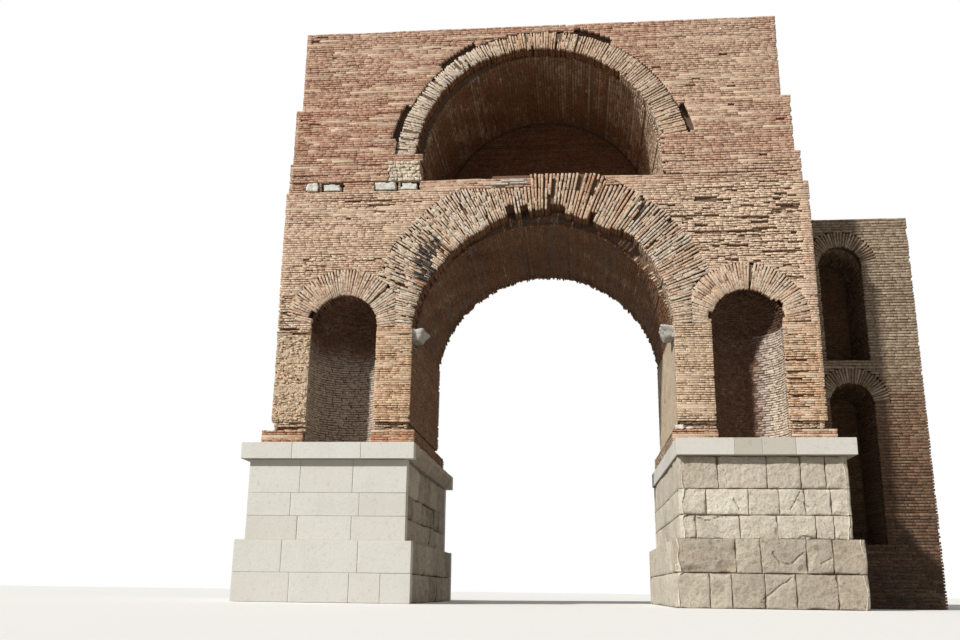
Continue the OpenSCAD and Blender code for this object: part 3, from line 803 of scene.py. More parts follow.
# Each hole has a side, or 0 for both, two heights and the stretch that it takes out
FLANK_HOLES = ((1, 0.0, WING_TOP, (WING_FRONT, WING_BACK)),)
JAMB_HOLES = ((0, IMPOST - 0.33, IMPOST, (-2.6, -1.7)), (1, SCAR_TOP, IMPOST, (-2.30, 3.0)))
beds, jambs = [], []
for index, (name, left_node, right_node, bottom, top, pitch, tone, clay) in enumerate(LEVELS):
    rng = np.random.default_rng(100 + index)
    rows = []
    back_in = 0.06 if name == "scar" else 0.0
    left = -(reach_of(left_node, -1) - back_in) if left_node else 0.0
    right = reach_of(right_node, 1) - back_in if right_node else 0.0
    depth = high(left_node or right_node).y - back_in
    inner = INNER.get(name, PASSAGE)

    def between(z, front):
        passage = [(-inner, inner)] if z < IMPOST else []
        return free_stretches(left, right, face_holes(z, front) + passage)

    def flank(z, side, holes):
        holes = [hole for its_side, start, end, hole in holes
                 if its_side * side >= 0 and start < z < end]
        return free_stretches(CORNER - depth, depth - CORNER, holes)

    lay(rows, -depth, (0, 1, 0), lambda z: between(z, True), bottom + GROOVES.get(name, 0.0),
        top, pitch, rng, weathered(tone), WORN.get(name, front_wear), SHORT, beds=beds,
        deepest=0.115)
    lay(rows, depth, (0, -1, 0), lambda z: between(z, False), bottom, top, pitch, rng, tone)
    for side, edge in ((-1, left), (1, right)):
        if edge == 0.0:
            continue
        lay(rows, edge, (-side, 0, 0), lambda z: flank(z, side, FLANK_HOLES), bottom, top,
            pitch, rng, tone)
        if side > 0 or name != "pier":  # the stripped strip needs none
            beds.append((edge - side * 0.03, 0.075 - depth, 0.5 * (bottom + top), -side, 0, 0,
                         0, 0, 1, 0.045, 0.5 * (top - bottom), 0.08, 0.0))
        if top <= IMPOST + 0.001:
            # The passage jambs are laid in the dark vault brick, the shaded left one darker than
            # the sunlit right one: painted shade and light.
            lay(jambs, side * inner, (side, 0, 0), lambda z: flank(z, side, JAMB_HOLES), bottom,
                top, pitch, rng, 0.5 if side < 0 else 0.9)
        if LEDGE_TOP - 0.01 <= bottom < LOW_TOP:
            def recess_jamb(z):
                start = high("springer_block").y if side < 0 and z < STRING_TOP else -2.4
                return [(start, RECESS_BACK)] if z <= RECESS_Z else []
            # The shaded left jamb of the recess is darker, and the right one, sunlit at the front,
            # pale: painted shade and light.
            lay(jambs, side * RECESS_R, (side, 0, 0), recess_jamb, bottom, top, pitch, rng,
                0.45 if side < 0 else 1.0)
    make_bricks(name + "_bricks", rows, clay, 200 + index)
make_bricks("jamb_bricks", jambs, vault_brick, 299)
make_bricks("wall_mortar", beds, mortar, 300, ragged=0.002)


# %% [markdown]
# ## Rings of long bricks
# An arch of this kind is turned with bricks of one and two Roman feet, set like the spokes
# of a wheel. Each stands on edge, its joint wedge-shaped. They are laid by angle instead of
# by course, with ends that broke off unevenly, and some that fell out. Their back ends are
# darkened as painted shade under the ring, and bricks of the brown vault run on beneath
# them. Where lime was pressed between them, a pale strip fills the gap.

# %% A ring of spokes
def spoke_of(angle):
    return np.array((math.cos(angle), 0.0, math.sin(angle)))


def ring(rows, centre, centre_z, inner, outer, first, last, pitch, plane, inward, rng, tone,
         ragged=0.03, proud=0.02, thick=0.68, lost=0.02, pieces=(0.5, 0.9), spread=0.06,
         filled=None, limed=None, soffits=None, shadowed_slot=None):
    """Spokes between two distances. What may change along the ring, such as its two edges,
    its tone or the pitch of its spokes, is a function of the angle in degrees."""
    middle = 0.5 * (at(inner, 90) + at(outer, 90))

    def put(into, angle, start, end, half, back, hue, depth=0.17):
        spoke = spoke_of(angle)
        place = np.array((centre, plane, centre_z)) + spoke * 0.5 * (start + end)
        place[1] += inward * back
        into.append((*place, 0, inward, 0, -spoke[2], 0, spoke[0], 0.5 * (end - start), half,
                     depth - back, hue))

    reached = math.radians(first)
    while reached < math.radians(last):
        turn = at(pitch, math.degrees(reached)) / middle
        angle = reached + 0.5 * turn + rng.normal(0, 0.0012)
        reached += turn
        degrees = math.degrees(angle)
        width = thick * turn * middle
        a = at(inner, degrees) + abs(rng.normal(0, ragged))
        end = at(outer, degrees) - abs(rng.normal(0, 0.4 * ragged))
        spoke_back = abs(rng.normal(0, proud))
        spoke_tone = spread * rng.normal()
        if soffits is not None and end - a > 0.05:
            put(soffits, angle, a + 0.02 * rng.random(), end, 0.47 * turn * a, 0.13,
                0.33 + spoke_tone, 0.61)
        while end - a > 0.05:
            low_size, high_size = at(pieces, degrees)
            b = a + rng.uniform(low_size, high_size)
            b = end if end - b < 0.6 * low_size else b
            patch = shadowed_slot is not None and shadowed_slot(degrees, 0.5 * (a + b))
            if rng.random() > at(lost, degrees):
                hue = at(tone, degrees, 0.5 * (a + b)) + spoke_tone + spread * rng.normal()
                # Bricks in the slot take tone 0.11, near black: painted shadow in the slot, with
                # some grey cement.
                put(rows, angle + rng.normal(0, 0.0015), a, b - rng.uniform(0.004, 0.020),
                    0.5 * width * rng.uniform(0.82, 1.10),
                    spoke_back + 0.006 * rng.random() + 0.05 * patch, 0.11 if patch else hue)
            a = b
        if filled is None:
            continue
        a = at(inner, degrees) + 0.04
        while a < end - 0.1:
            b = min(a + rng.uniform(0.04, 0.20), end)
            if rng.random() < at(limed, degrees):
                half = 0.5 * (0.5 * (a + b) * turn - width) + 0.004
                hue = rng.uniform(0.5, 1.0) if at(tone, degrees, a) > 0.3 else -1.0
                put(filled, angle + 0.5 * turn, a, b, max(half, 0.004),
                    rng.uniform(0.008, 0.03) + 0.5 * spoke_back, hue)
            a = b


def across(drop, radius):
    """The distance along a spoke to a circle whose centre lies lower by drop."""
    def distance(degrees):
        angle = math.radians(degrees)
        return (math.sqrt(radius ** 2 - (drop * math.cos(angle)) ** 2)
                - drop * math.sin(angle))
    return distance


def main_outer(top_of):
    """How far a spoke of the main ring may reach before it meets a niche ring or the ledge."""
    def limit(degrees):
        spoke = (math.cos(math.radians(degrees)), math.sin(math.radians(degrees)))
        reach = RING_IN
        while reach < MAIN_R - 0.01:
            x, z = spoke[0] * reach, RING_Z + spoke[1] * reach
            near_niche = math.hypot(abs(x) - NICHE_OUT, z - IMPOST) < NICHE_RING_R
            if (abs(x) > SEAM and near_niche) or z > at(top_of, x) - 0.012:
                break
            reach += 0.01
        return reach + 0.02
    return limit


def niche_outer(side):
    """How far a spoke of a niche ring may reach before it meets the main ring."""
    def limit(degrees):
        towards = -side * math.cos(math.radians(degrees))
        seam = (NICHE_OUT - SEAM) / towards + 0.02 if towards > 0.01 else 9.0
        return min(seam, NICHE_RING_R)
    return limit


# %% How the main ring is worn
EROSION = ([0, 16, 26, 35, 42, 48, 56, 59, 70, 76, 89, 93, 97, 108, 118, 130, 143, 152, 162, 180],
           [0.0, 0.02, 0.05, 0.10, 0.14, 0.19, 0.06, -0.04, -0.02, -0.02, 0.08, 0.03, 0.04, 0.0,
            -0.07, -0.08, -0.09, -0.05, 0.0, 0.0])
POCKETS = ((65.8, 68, 0.26), (79.5, 86.5, 0.16), (95.5, 98.5, 0.18), (101.5, 104.5, 0.27))


def eroded_inner(degrees):
    pocket = sum(deep for a, b, deep in POCKETS if a < degrees < b)
    return RING_IN + np.interp(degrees, *EROSION) + pocket


def cement_and_shadow_slot(degrees, radius):
    """A slot on the right haunch, partly filled with grey cement. Its bricks lie deeper and are
    coloured near black as painted shadow in the slot.
    """
    return radius > 3.72 and abs(degrees - 51.4 - 5.9 * (radius - 3.74)) < 1.4


def main_tone(degrees, radius):
    """A slanting band of soot lies on the left haunch."""
    off_band = radius - 3.62 + 0.022 * (degrees - 141)
    soot = math.exp(-(off_band / 0.22) ** 2 - ((degrees - 147) / 11) ** 6)
    if soot > 0.45:
        return 0.07
    if radius < 3.5 and abs(degrees - 138) < 2.5:
        return 0.34
    return np.interp(degrees, [0, 25, 45, 62, 75, 95, 112, 122, 180],
                     [0.72, 0.71, 0.72, 0.62, 0.53, 0.57, 0.67, 0.75, 0.74]) - 0.2 * soot


def main_pieces(degrees):
    if 50 < degrees < 97:
        return (0.18, 0.7)
    return (0.10, 0.42) if 30 < degrees < 158 else (0.2, 0.7)


# The bricks were thick at the crown and thin on the haunches
main_pitch = graph([0, 45, 55, 95, 108, 180], [0.074, 0.074, 0.090, 0.086, 0.066, 0.063])
main_limed = graph([0, 20, 40, 70, 110, 125, 160, 180],
                   [0.5, 0.25, 0.12, 0.10, 0.25, 0.40, 0.35, 0.4])


# %% The main ring, front and back
rng = np.random.default_rng(401)
rows, fills, undersides = [], [], []
low_angle = math.degrees(math.asin(RING_DROP / RING_IN))
vault_edge = across(VAULT_STEP, VAULT_R)
ring(rows, 0, RING_Z, eroded_inner,
     main_outer(lambda x: CROWN_TOP if CROWN[0] < x < CROWN[1] else LEDGE),
     low_angle, 180 - low_angle, main_pitch, -WALL_Y + 0.003, 1, rng, main_tone, 0.030, 0.018,
     0.66, lambda degrees: 0.030 if 50 < degrees < 97 else 0.016, main_pieces, 0.08, fills,
     main_limed, undersides, cement_and_shadow_slot)
ring(rows, 0, RING_Z, lambda degrees: vault_edge(degrees) + 0.012,
     lambda degrees: eroded_inner(degrees) + 0.10, low_angle, 178, 0.066, -1.985, 1, rng,
     graph([0, 40, 60, 180], [0.85, 0.8, 0.2, 0.1]), 0.03, 0.03, 0.76, pieces=(0.05, 0.2))
ring(rows, 0, RING_Z, vault_edge, main_outer(FLOOR), low_angle, 180 - low_angle, 0.072,
     WALL_Y - 0.015, -1, rng, main_tone, 0.045, 0.02, 0.76, 0.01, spread=0.05)
make_bricks("main_ring_bricks", rows, arch_brick, 402, 0.004, 1.0)

# %% The niche rings
rows = []
NICHE_CHIPS = {-1: ((150, 165, 0.12),),
               1: ((8, 22, 0.08), (22, 36, 0.14), (36, 44, 0.06), (160, 172, 0.07))}
NICHE_CRACK = {-1: 44, 1: 83}
LIMED_BRICK = 0.66


def chipped(degrees):
    return NICHE_R + 0.004 + sum(deep for a, b, deep in NICHE_CHIPS[side] if a < degrees < b)


def fallen(degrees):
    return 1.0 if abs(degrees - NICHE_CRACK[side]) < 1.6 else 0.006


for side in (-1, 1):
    last = 180 - math.degrees(LOWEST_SPOKE) if side < 0 else 179
    ring(rows, side * NICHE_OUT, IMPOST, chipped, niche_outer(side), 1, last, 0.066,
         0.010 - WALL_Y, 1, rng, LIMED_BRICK, 0.012, 0.010, 0.80, fallen, (0.25, 0.8),
         filled=fills, limed=0.35)
    ring(rows, side * NICHE_OUT, IMPOST, NICHE_R + 0.004, niche_outer(side), 1, 179, 0.066,
         WALL_Y - 0.012, -1, rng, LIMED_BRICK, 0.012, 0.010, 0.80, 0.006, (0.25, 0.8))
make_bricks("niche_ring_bricks", rows, arch_brick, 403, 0.003, 0.9)

# %% The recess ring
rows = []
recess_worn = graph([0, 25, 60, 100, 130, 180], [0.06, 0.03, 0.02, 0.06, 0.17, 0.20])
recess_tone = graph([0, 50, 75, 100, 120, 180], [0.62, 0.66, 0.58, 0.52, 0.84, 0.86])
recess_limed = graph([0, 60, 110, 130, 180], [0.3, 0.25, 0.3, 0.5, 0.5])


def recess_inner(degrees):
    return RECESS_R + recess_worn(degrees)


for inward in (1, -1):
    seen = inward > 0
    ring(rows, 0, RECESS_Z, recess_inner, across(RECESS_Z - RECESS_RING_Z, RECESS_RING_R),
         8, 177.6, 0.068, -2.425 * inward, inward, rng, recess_tone, 0.040, 0.024, 0.72, 0.015,
         (0.2, 0.9), 0.05, fills if seen else None, recess_limed, undersides if seen else None)
make_bricks("recess_ring_bricks", rows, arch_brick, 404, 0.006, 1.0)
make_bricks("ring_underside_bricks", undersides, vault_brick, 406, 0.006)
make_bricks("ring_mortar", fills, mortar, 405, 0.004, 0.8)


# %% [markdown]
# ## Vaults
# Under a vault the long bricks show only their narrow edges, in lines that run from front
# to back. Soot and dust have made them brown.

# %% Lines of bricks on a soffit
def soffit(rows, centre_z, radius, first, last, start_y, end_y, pitch, rng, tone, centre=0.0):
    """Lines of bricks under a round; its radius may depend on the angle."""
    count = round(math.radians(last - first) * at(radius, 90) / pitch)
    for i in range(count):
        degrees = first + (i + 0.5) * (last - first) / count
        spoke = spoke_of(math.radians(degrees))
        line_back = abs(rng.normal(0, 0.012))
        line_tone = 0.05 * rng.normal()
        for a, b in uneven(start_y, end_y, 0.3, (0.12, 0.45), 0.05, rng):
            back = line_back + abs(rng.normal(0, 0.007))
            if rng.random() < 0.02:
                back += 0.04
            round_r = at(radius, degrees)
            place = np.array((centre, 0.5 * (a + b), centre_z)) + spoke * (round_r + back)
            hue = at(tone, degrees)
            rows.append((*place, *spoke, -spoke[2], 0, spoke[0], 0.5 * (b - a) - 0.006,
                         0.5 * round_r * math.radians(last - first) / count - 0.010, 0.08,
                         hue + line_tone + 0.07 * rng.normal()
                         + 0.16 * patch_drift(place[0] + place[2], place[1])))


# The eroded strip low on the right is pale, and catches the sun
limed_right = graph([0, 35, 60, 180], [0.80, 0.76, 0.45, 0.45])
rows, limed_rows = [], []
rng = np.random.default_rng(501)
vault_angle = math.degrees(math.asin(VAULT_DROP / VAULT_R))
soffit(rows, VAULT_Z, VAULT_R, vault_angle, 180 - vault_angle, VAULT_FRONT, BACK_FACE, 0.064,
       rng, 0.33)
soffit(limed_rows, RING_Z, lambda degrees: eroded_inner(degrees) - 0.010, low_angle, 47, -2.52,
       VAULT_FRONT, 0.064, rng, limed_right)
make_bricks("main_vault_bricks", rows, vault_brick, 502)
rows = []
soffit(rows, RECESS_Z, RECESS_R, 0, 180, VAULT_FRONT, RECESS_BACK, 0.078, rng,
       graph([0, 20, 60, 120, 180], [0.95, 0.75, 0.5, 0.48, 0.6]))
soffit(limed_rows, RECESS_Z, lambda degrees: recess_inner(degrees) - 0.010, 0, 48, -2.36,
       VAULT_FRONT, 0.078, rng, limed_right)
make_bricks("recess_vault_bricks", rows, vault_brick, 503)
make_bricks("limed_soffit_bricks", limed_rows, arch_brick, 505)

# %% The wall that closes the recess, on both sides
rows = []
for plane, inward, tone in ((1.87, 1, 0.2), (2.37, -1, 0.6)):
    lay(rows, plane, (0, inward, 0), lambda z: round_head(z, 0, RECESS_Z, RECESS_R), FLOOR,
        RECESS_Z + RECESS_R, 0.062, rng, tone)
make_bricks("recess_end_bricks", rows, vault_brick, 504)


# %% [markdown]
# ## Niches
# A niche is a half-round shaft under a half dome, with a straight part in front. Its courses
# follow the curve, and in the dome they run round in rings that grow smaller to the top.

# %% Curved courses
DOME_RINGS = 22


def niche(rows, side, face, bottom, rng, tone):
    mouth = WALL_Y - NICHE_STRAIGHT[side]
    centre = np.array((side * NICHE_OUT, face * mouth, 0.0))
    heights, step = course_heights(bottom, IMPOST, 0.060)
    bands = [(z, 0.0, NICHE_R) for z in heights]
    for i in range(DOME_RINGS):
        lift = math.radians(90) * (i + 0.5) / DOME_RINGS
        bands.append((IMPOST + NICHE_R * math.sin(lift), lift, NICHE_R * math.cos(lift)))
    for z, lift, radius in bands:
        for a, b in uneven(0, math.pi * radius, 0.2, (0.17, 0.30), 0.03, rng):
            turn = 0.5 * (a + b) / max(radius, 0.05)
            flat = np.array((math.cos(turn), -face * math.sin(turn), 0.0))
            inward = flat * math.cos(lift) + np.array((0, 0, math.sin(lift)))
            up = -flat * math.sin(lift) + np.array((0, 0, math.cos(lift)))
            back = abs(rng.normal(0, 0.006))
            point = centre + flat * radius + np.array((0, 0, z)) + inward * back
            half = min(0.5 * (b - a) - 0.006, radius * 0.45)
            rows.append((*point, *inward, *up, half, 0.5 * step - 0.008, 0.06,
                         tone(turn, z) + 0.04 * rng.normal() + 0.06 * patch_drift(turn, z)))
    near, far = sorted((face * 2.46, face * mouth))
    for jamb, turn in ((-1, math.pi), (1, 0.0)):
        lay(rows, side * NICHE_OUT + jamb * NICHE_R, (jamb, 0, 0), lambda z: [(near, far)],
            bottom, IMPOST, 0.060, rng, lambda place, z: tone(turn, z), lengths=SHORT)
    soffit(rows, IMPOST, NICHE_R, 0, 180, near, far, 0.066, rng, tone(1.5, IMPOST + 0.5),
           side * NICHE_OUT)


def left_niche_tone(turn, z):
    """Painted shade, darkest in the dome, with some soot, greyer and paler below, with a
    jagged pale edge at the right painted where the sun falls.
    """
    base = np.interp(z, [4.0, 5.75, 6.0, 6.3, 6.6], [0.80, 0.74, 0.50, 0.26, 0.12])
    return base + (0.4 if turn < 0.35 and z < 6.1 else 0.0)


# Painted shade that darkens towards the dome, and a painted sunlit strip at the right below it.
def right_niche_tone(turn, z):
    base = np.interp(z, [4.0, 5.0, 6.0, 6.6], [0.22, 0.16, 0.10, 0.04])
    return base + 0.75 * min(1.0, 2.2 * max(0.0, 1 - turn / 1.3)) * (z < 6.5)


rows = []
rng = np.random.default_rng(601)
for face in (-1, 1):
    niche(rows, -1, face, LEFT_CAP, rng, left_niche_tone)
    niche(rows, 1, face, RIGHT_CAP, rng, right_niche_tone)
make_bricks("niche_bricks", rows, niche_brick, 602, 0.006)


# %% [markdown]
# ## The wing wall
# The wing is plainer and its courses are higher, 76 mm, with wide worn joints.

# %% Faces, jambs and rings of the wing
WING_X, WING_R = 7.8, 0.54
WING_RING_R = WING_R + 0.43
WING_PITCH = 0.076
WING_LOW_Z, WING_HIGH_Z = low("wing_lower_ring").z, low("wing_upper_ring").z
WING_END = cad_high.x - AXIS
WING_OPENINGS = ((1.5, WING_LOW_Z), (high("wing_lower_wall").z, WING_HIGH_Z))
WING_INSIDE = 1.35


def wing_start(z):
    if z < RIGHT_CAP:
        return 6.91
    return 6.75 if z < FOOT_TOP else WALL_X


def wing_front(z):
    holes = []
    for sill, springing in WING_OPENINGS:
        if sill < z < springing:
            holes.append((WING_X - WING_R, WING_X + WING_R))
        elif springing <= z < springing + 1:
            holes += chord(z, WING_X, springing, WING_R + 0.42)
    return free_stretches(wing_start(z), WING_END, holes)


def wing_wear(x, z):
    return min(0.18 + 0.12 * abs(patch_drift(x, z)), 0.29)


rows = []
rng = np.random.default_rng(701)
# The front's tone falls from 0.66 high up to 0.12 near the ground: painted shade on the lower
# wing, which lies in shadow, and painted light above.
lay(rows, WING_FRONT, (0, 1, 0), wing_front, 0.0, WING_TOP, WING_PITCH, rng,
    lambda x, z: np.interp(z, [3.5, 6.5], [0.12, 0.66]), wing_wear, deepest=0.033)
lay(rows, WING_BACK, (0, -1, 0), lambda z: [(wing_start(z), WING_END)], 0.0, WING_TOP,
    WING_PITCH, rng)
lay(rows, WING_END, (-1, 0, 0), lambda z: [(WING_FRONT + CORNER, WING_BACK - CORNER)], 0.0,
    WING_TOP, WING_PITCH, rng)
for side in (-1, 1):
    for sill, springing in WING_OPENINGS:
        lay(rows, WING_X + side * WING_R, (side, 0, 0),
            lambda z: [(WING_FRONT + CORNER, WING_INSIDE)], sill, springing, WING_PITCH, rng, 0.4)
make_bricks("wing_bricks", rows, wing_brick, 702)
rows = []
for sill, springing in WING_OPENINGS:
    ring(rows, WING_X, springing, WING_R + 0.004, WING_RING_R, 2, 178, 0.070,
         WING_FRONT + 0.015, 1, rng, LIMED_BRICK, 0.012, 0.012, 0.66, 0.01)
make_bricks("wing_ring_bricks", rows, wing_brick, 703, 0.004, 0.8)
rows = []
for sill, springing in WING_OPENINGS:
    soffit(rows, springing, WING_R, 0, 180, 0.0, WING_INSIDE, 0.062, rng, 0.6, WING_X)
    lay(rows, WING_INSIDE, (0, 1, 0), lambda z: round_head(z, WING_X, springing, WING_R), sill,
        springing + WING_R, 0.07, rng, lengths=SHORT)
make_bricks("wing_opening_bricks", rows, vault_brick, 704)


# %% [markdown]
# ## Tiles on the level tops
# Seen from above, the attic, the wing and the floor of the recess are closed with large
# square tiles, as such walls are once they are made safe.

# %% Lay the tiles
TILE = 0.36


def tiles(rows, x_from, x_to, y_from, y_to, z, rng, tone=0.5):
    columns = round((x_to - x_from) / TILE)
    lines = round((y_to - y_from) / TILE)
    step_x, step_y = (x_to - x_from) / columns, (y_to - y_from) / lines
    for i in range(columns):
        for j in range(lines):
            rows.append((x_from + (i + 0.5) * step_x, y_from + (j + 0.5) * step_y,
                         z - 0.002 - abs(rng.normal(0, 0.003)), 0, 0, -1, 0, 1, 0,
                         0.5 * step_x - 0.007, 0.5 * step_y - 0.007, 0.03,
                         tone + 0.12 * rng.normal()))


rows = []
rng = np.random.default_rng(801)
tiles(rows, -reach_of("attic_top_wall", -1) + CORNER, reach_of("attic_top_wall", 1) - CORNER,
      CORNER - BACK_FACE, BACK_FACE - CORNER, TOP, rng)
tiles(rows, WALL_X, WING_END - CORNER, WING_FRONT + CORNER, WING_BACK - CORNER, WING_TOP, rng)
tiles(rows, -RECESS_R, RECESS_R, -BACK_FACE, RECESS_BACK, FLOOR, rng, 0.45)
make_bricks("top_tiles", rows, attic_brick, 802)


# %% [markdown]
# ## Sawn blocks
# The left pedestal was renewed with sawn blocks, sharp and close-jointed. Each is a copy of a
# cube that is cut into a grid, so that its edges can be eased and its faces made uneven. The
# gap of a few millimetres between two blocks is the joint.

# %% Two blocks to copy
def model_block(cuts, edge):
    """A cube in a grid whose outer lines lie close to the edges."""
    select_only()
    bpy.ops.mesh.primitive_cube_add(size=2)
    block = bpy.context.object
    edit_faces(block, lambda normal: True)
    bpy.ops.mesh.subdivide(number_cuts=cuts)
    bpy.ops.object.mode_set(mode="OBJECT")
    corners, faces = read_and_drop(block)
    line = np.linspace(-1, 1, cuts + 2)
    wanted = np.concatenate(([-1, -1 + edge], np.linspace(-1 + 2.5 * edge, 1 - 2.5 * edge,
                                                          cuts - 2), [1 - edge, 1]))
    return np.interp(corners, line, wanted), faces


SAWN_BLOCK, SAWN_FACES = model_block(4, 0.03)
WORN_BLOCK, WORN_FACES = model_block(10, 0.06)


def shaped_block(pattern, lowest, highest, radius, wave, seed):
    """A block between two corners, with rounded edges and an uneven skin."""
    lowest, highest = np.array(lowest), np.array(highest)
    middle, half = (lowest + highest) / 2, (highest - lowest) / 2
    points = pattern * half
    radius = min(radius, half.min() * 0.8)
    inner = np.clip(points, radius - half, half - radius)
    away = points - inner
    length = np.linalg.norm(away, axis=1, keepdims=True)
    points = np.where(length > radius, inner + away / np.maximum(length, 1e-9) * radius, points)
    points = points + middle
    for i, point in enumerate(points):
        spot = Vector(point) + Vector((seed * 3.1, seed * 1.7, seed * 0.9))
        rough = (0.5 + 0.5 * noise.noise(spot * 2.2) + 0.35 * noise.noise(spot * 7.0)
                 + 0.2 * noise.noise(spot * 19.0))
        points[i] += (middle - point) * wave * max(rough, 0.0) / max(half.min(), 0.1)
    return points


class Stones:
    """Collects blocks until they are made one piece."""

    def __init__(self):
        self.points = []
        self.faces = []
        self.tones = []
        self.count = 0

    def put(self, points, faces, tone):
        self.points.append(points)
        self.faces.append(faces + self.count)
        self.tones.append(np.broadcast_to(tone, len(points)))
        self.count += len(points)

    def finish(self, name, material, angle):
        points = np.concatenate(self.points)
        points[:, 0] += AXIS
        piece = piece_of(name, points, np.concatenate(self.faces), np.concatenate(self.tones),
                         material)
        select_only(piece)
        bpy.ops.object.shade_smooth_by_angle(angle=math.radians(angle))
        return piece


# %% The left pedestal, course by course
PLINTH_OUT, PLINTH_IN = AXIS - cad_low.x, 2.86
PLINTH_Y = cad_high.y
PLINTH = high("left_plinth").z
SET_BACK = 0.18
HALF_GAP = 0.0015
SIDES = (0.17, 0.35, 0.5, 0.68, 0.84)
SIDES_TOO = (0.1, 0.26, 0.43, 0.6, 0.76, 0.9)


def pairs(start, length, cuts):
    """The stretches between cuts, which are shares of a length."""
    edges = [start + length * cut for cut in (0, *cuts, 1)]
    return list(zip(edges, edges[1:]))


def sawn_course(stones, side, bottom, top, inset, front_cuts, flank_cuts, rng, tones=None,
                band=0.30, inner_edge=PLINTH_IN):
    """Blocks along the front, the back and the outer side of one course. A course whose
    tones are given has an inner side as well."""
    x_low, x_high = sorted((side * (inner_edge + inset), side * (PLINTH_OUT - inset)))
    y_low, y_high = -PLINTH_Y + inset, PLINTH_Y - inset

    def put(x_from, x_to, y_from, y_to, hue):
        block = shaped_block(SAWN_BLOCK, (x_from, y_from, bottom + HALF_GAP),
                             (x_to, y_to, top - HALF_GAP), 0.006 * rng.uniform(0.7, 1.3),
                             0.0015, rng.uniform(0, 50))
        stones.put(block, SAWN_FACES, hue)

    for y_from, y_to in ((y_low, y_low + band), (y_high - band, y_high)):
        for i, (a, b) in enumerate(pairs(x_low, x_high - x_low, front_cuts)):
            hue = tones[i] if tones else 0.66 + 0.08 * rng.normal()
            proud = 0.003 * rng.random()
            put(a + HALF_GAP, b - HALF_GAP, y_from + proud, y_to - proud, hue)
    left, right = (x_low, x_low + band), (x_high - band, x_high)
    outer, inner = (left, right) if side < 0 else (right, left)
    for x_from, x_to in (outer, inner) if tones else (outer,):
        for a, b in pairs(y_low + band, y_high - y_low - 2 * band, flank_cuts):
            hue = 0.62 + 0.08 * rng.normal()
            put(x_from, x_to, a + HALF_GAP, b - HALF_GAP, hue)


LEFT_COURSES = ((0.0, 0.64, 0.0, (0.326, 0.661, 0.834), SIDES),
                (0.64, PLINTH, 0.0, (0.273, 0.703), SIDES_TOO),
                (PLINTH, PLINTH + 0.54, SET_BACK, (0.325, 0.663), SIDES),
                (PLINTH + 0.54, PLINTH + 1.06, SET_BACK, (0.274, 0.707), SIDES_TOO),
                (PLINTH + 1.06, LEFT_DIE, SET_BACK, (0.326, 0.66), SIDES),
                (LEFT_DIE, LEFT_CAP, 0.0, (0.297, 0.694), SIDES))
rng = np.random.default_rng(901)
stones = Stones()
for course in LEFT_COURSES:
    sawn_course(stones, -1, *course, rng)
stones.finish("left_pedestal_blocks", new_limestone, 50)

# %% The slabs of the right cap
stones = Stones()
sawn_course(stones, 1, RIGHT_DIE, RIGHT_CAP, 0.0, (0.326, 0.480, 0.665), SIDES, rng,
            (0.55, 0.14, 0.22, 0.50), 0.55, low("right_cap").x - AXIS)
stones.finish("right_cap_slabs", new_limestone, 50)


# %% [markdown]
# ## Old blocks
# The right pedestal keeps its old blocks. Their faces are flat in the large and bitten in the
# small: corners are rounded off, chips are lost, cracks run through, and the joints are open.
# A box can't carry that, so each course is a fine skin over the solid. Its lines lie closer
# where a joint runs, and each point is pushed in by a depth that is added up from joints,
# worn edges, chips, cracks and noise. Its rims turn inward, so that no light gets behind it.

# %% A skin on an upright face
def clouds(places, size, seed):
    """Noise between about -1 and 1 at an array of places."""
    shift = Vector((seed * 7.3, seed * 3.1, seed * 5.7))
    values = [noise.noise(Vector(place) + shift) for place in places.reshape(-1, 3) / size]
    return np.array(values).reshape(places.shape[:-1])


def grid_lines(start, end, step, marks=()):
    """Lines about a step apart, with finer ones beside each mark."""
    plain = np.linspace(start, end, max(2, round((end - start) / step)) + 1)
    lines = [line for line in plain[1:-1] if all(abs(line - mark) > 0.028 for mark in marks)]
    for mark in marks:
        lines += [mark + away for away in (-0.024, -0.013, -0.005, 0.005, 0.013, 0.024)
                  if start < mark + away < end]
    return np.array(sorted([start, *lines, end]))


def skin(stones, origin, inward, along_lines, height_lines, shape, rim=0.30, mitre=False):
    """A grid of points on an upright face, pushed in as shape says, with rims turned in.
    At the corners of a block the rims run diagonally, as in a picture frame, and the rims
    of two courses stay a few millimetres apart: faces in one plane would render black."""
    inward = np.array(inward, float)
    along = np.cross(inward, (0, 0, 1))
    s, z = np.meshgrid(along_lines, height_lines, indexing="ij")
    places = np.array(origin, float) + s[..., None] * along + z[..., None] * (0, 0, 1)
    depth, tone = shape(s, z, places)
    depth = np.pad(np.maximum(depth, 0.0), 1, mode="edge")
    tone = np.pad(tone, 1, mode="edge")
    places = np.pad(places, ((1, 1), (1, 1), (0, 0)), mode="edge")
    depth[0], depth[-1], depth[:, 0], depth[:, -1] = rim, rim, rim, rim
    if mitre:
        turned = np.clip(along_lines, rim, along_lines[-1] - rim) - along_lines
        for row in (0, -1):
            places[1:-1, row] += turned[:, None] * along
        places[0] += rim * along
        places[-1] -= rim * along
    places[:, 0, 2] += 0.004
    places[:, -1, 2] -= 0.004
    places = places + depth[..., None] * inward
    index = np.arange(depth.size).reshape(depth.shape)
    faces = np.stack((index[:-1, :-1], index[1:, :-1], index[1:, 1:], index[:-1, 1:]), -1)
    stones.put(places.reshape(-1, 3), faces.reshape(-1, 4), tone.ravel())


def to_crack(s, z, line):
    """The distance of each point from a line of straight stretches."""
    nearest = np.full(s.shape, 9.0)
    for (s1, z1), (s2, z2) in zip(line, line[1:]):
        length = (s2 - s1) ** 2 + (z2 - z1) ** 2
        share = np.clip(((s - s1) * (s2 - s1) + (z - z1) * (z2 - z1)) / length, 0, 1)
        nearest = np.minimum(nearest, np.hypot(s - s1 - share * (s2 - s1),
                                               z - z1 - share * (z2 - z1)))
    return nearest


# %% A course of old blocks
JOINT_DEPTH, CRACK_DEPTH = 0.050, 0.045


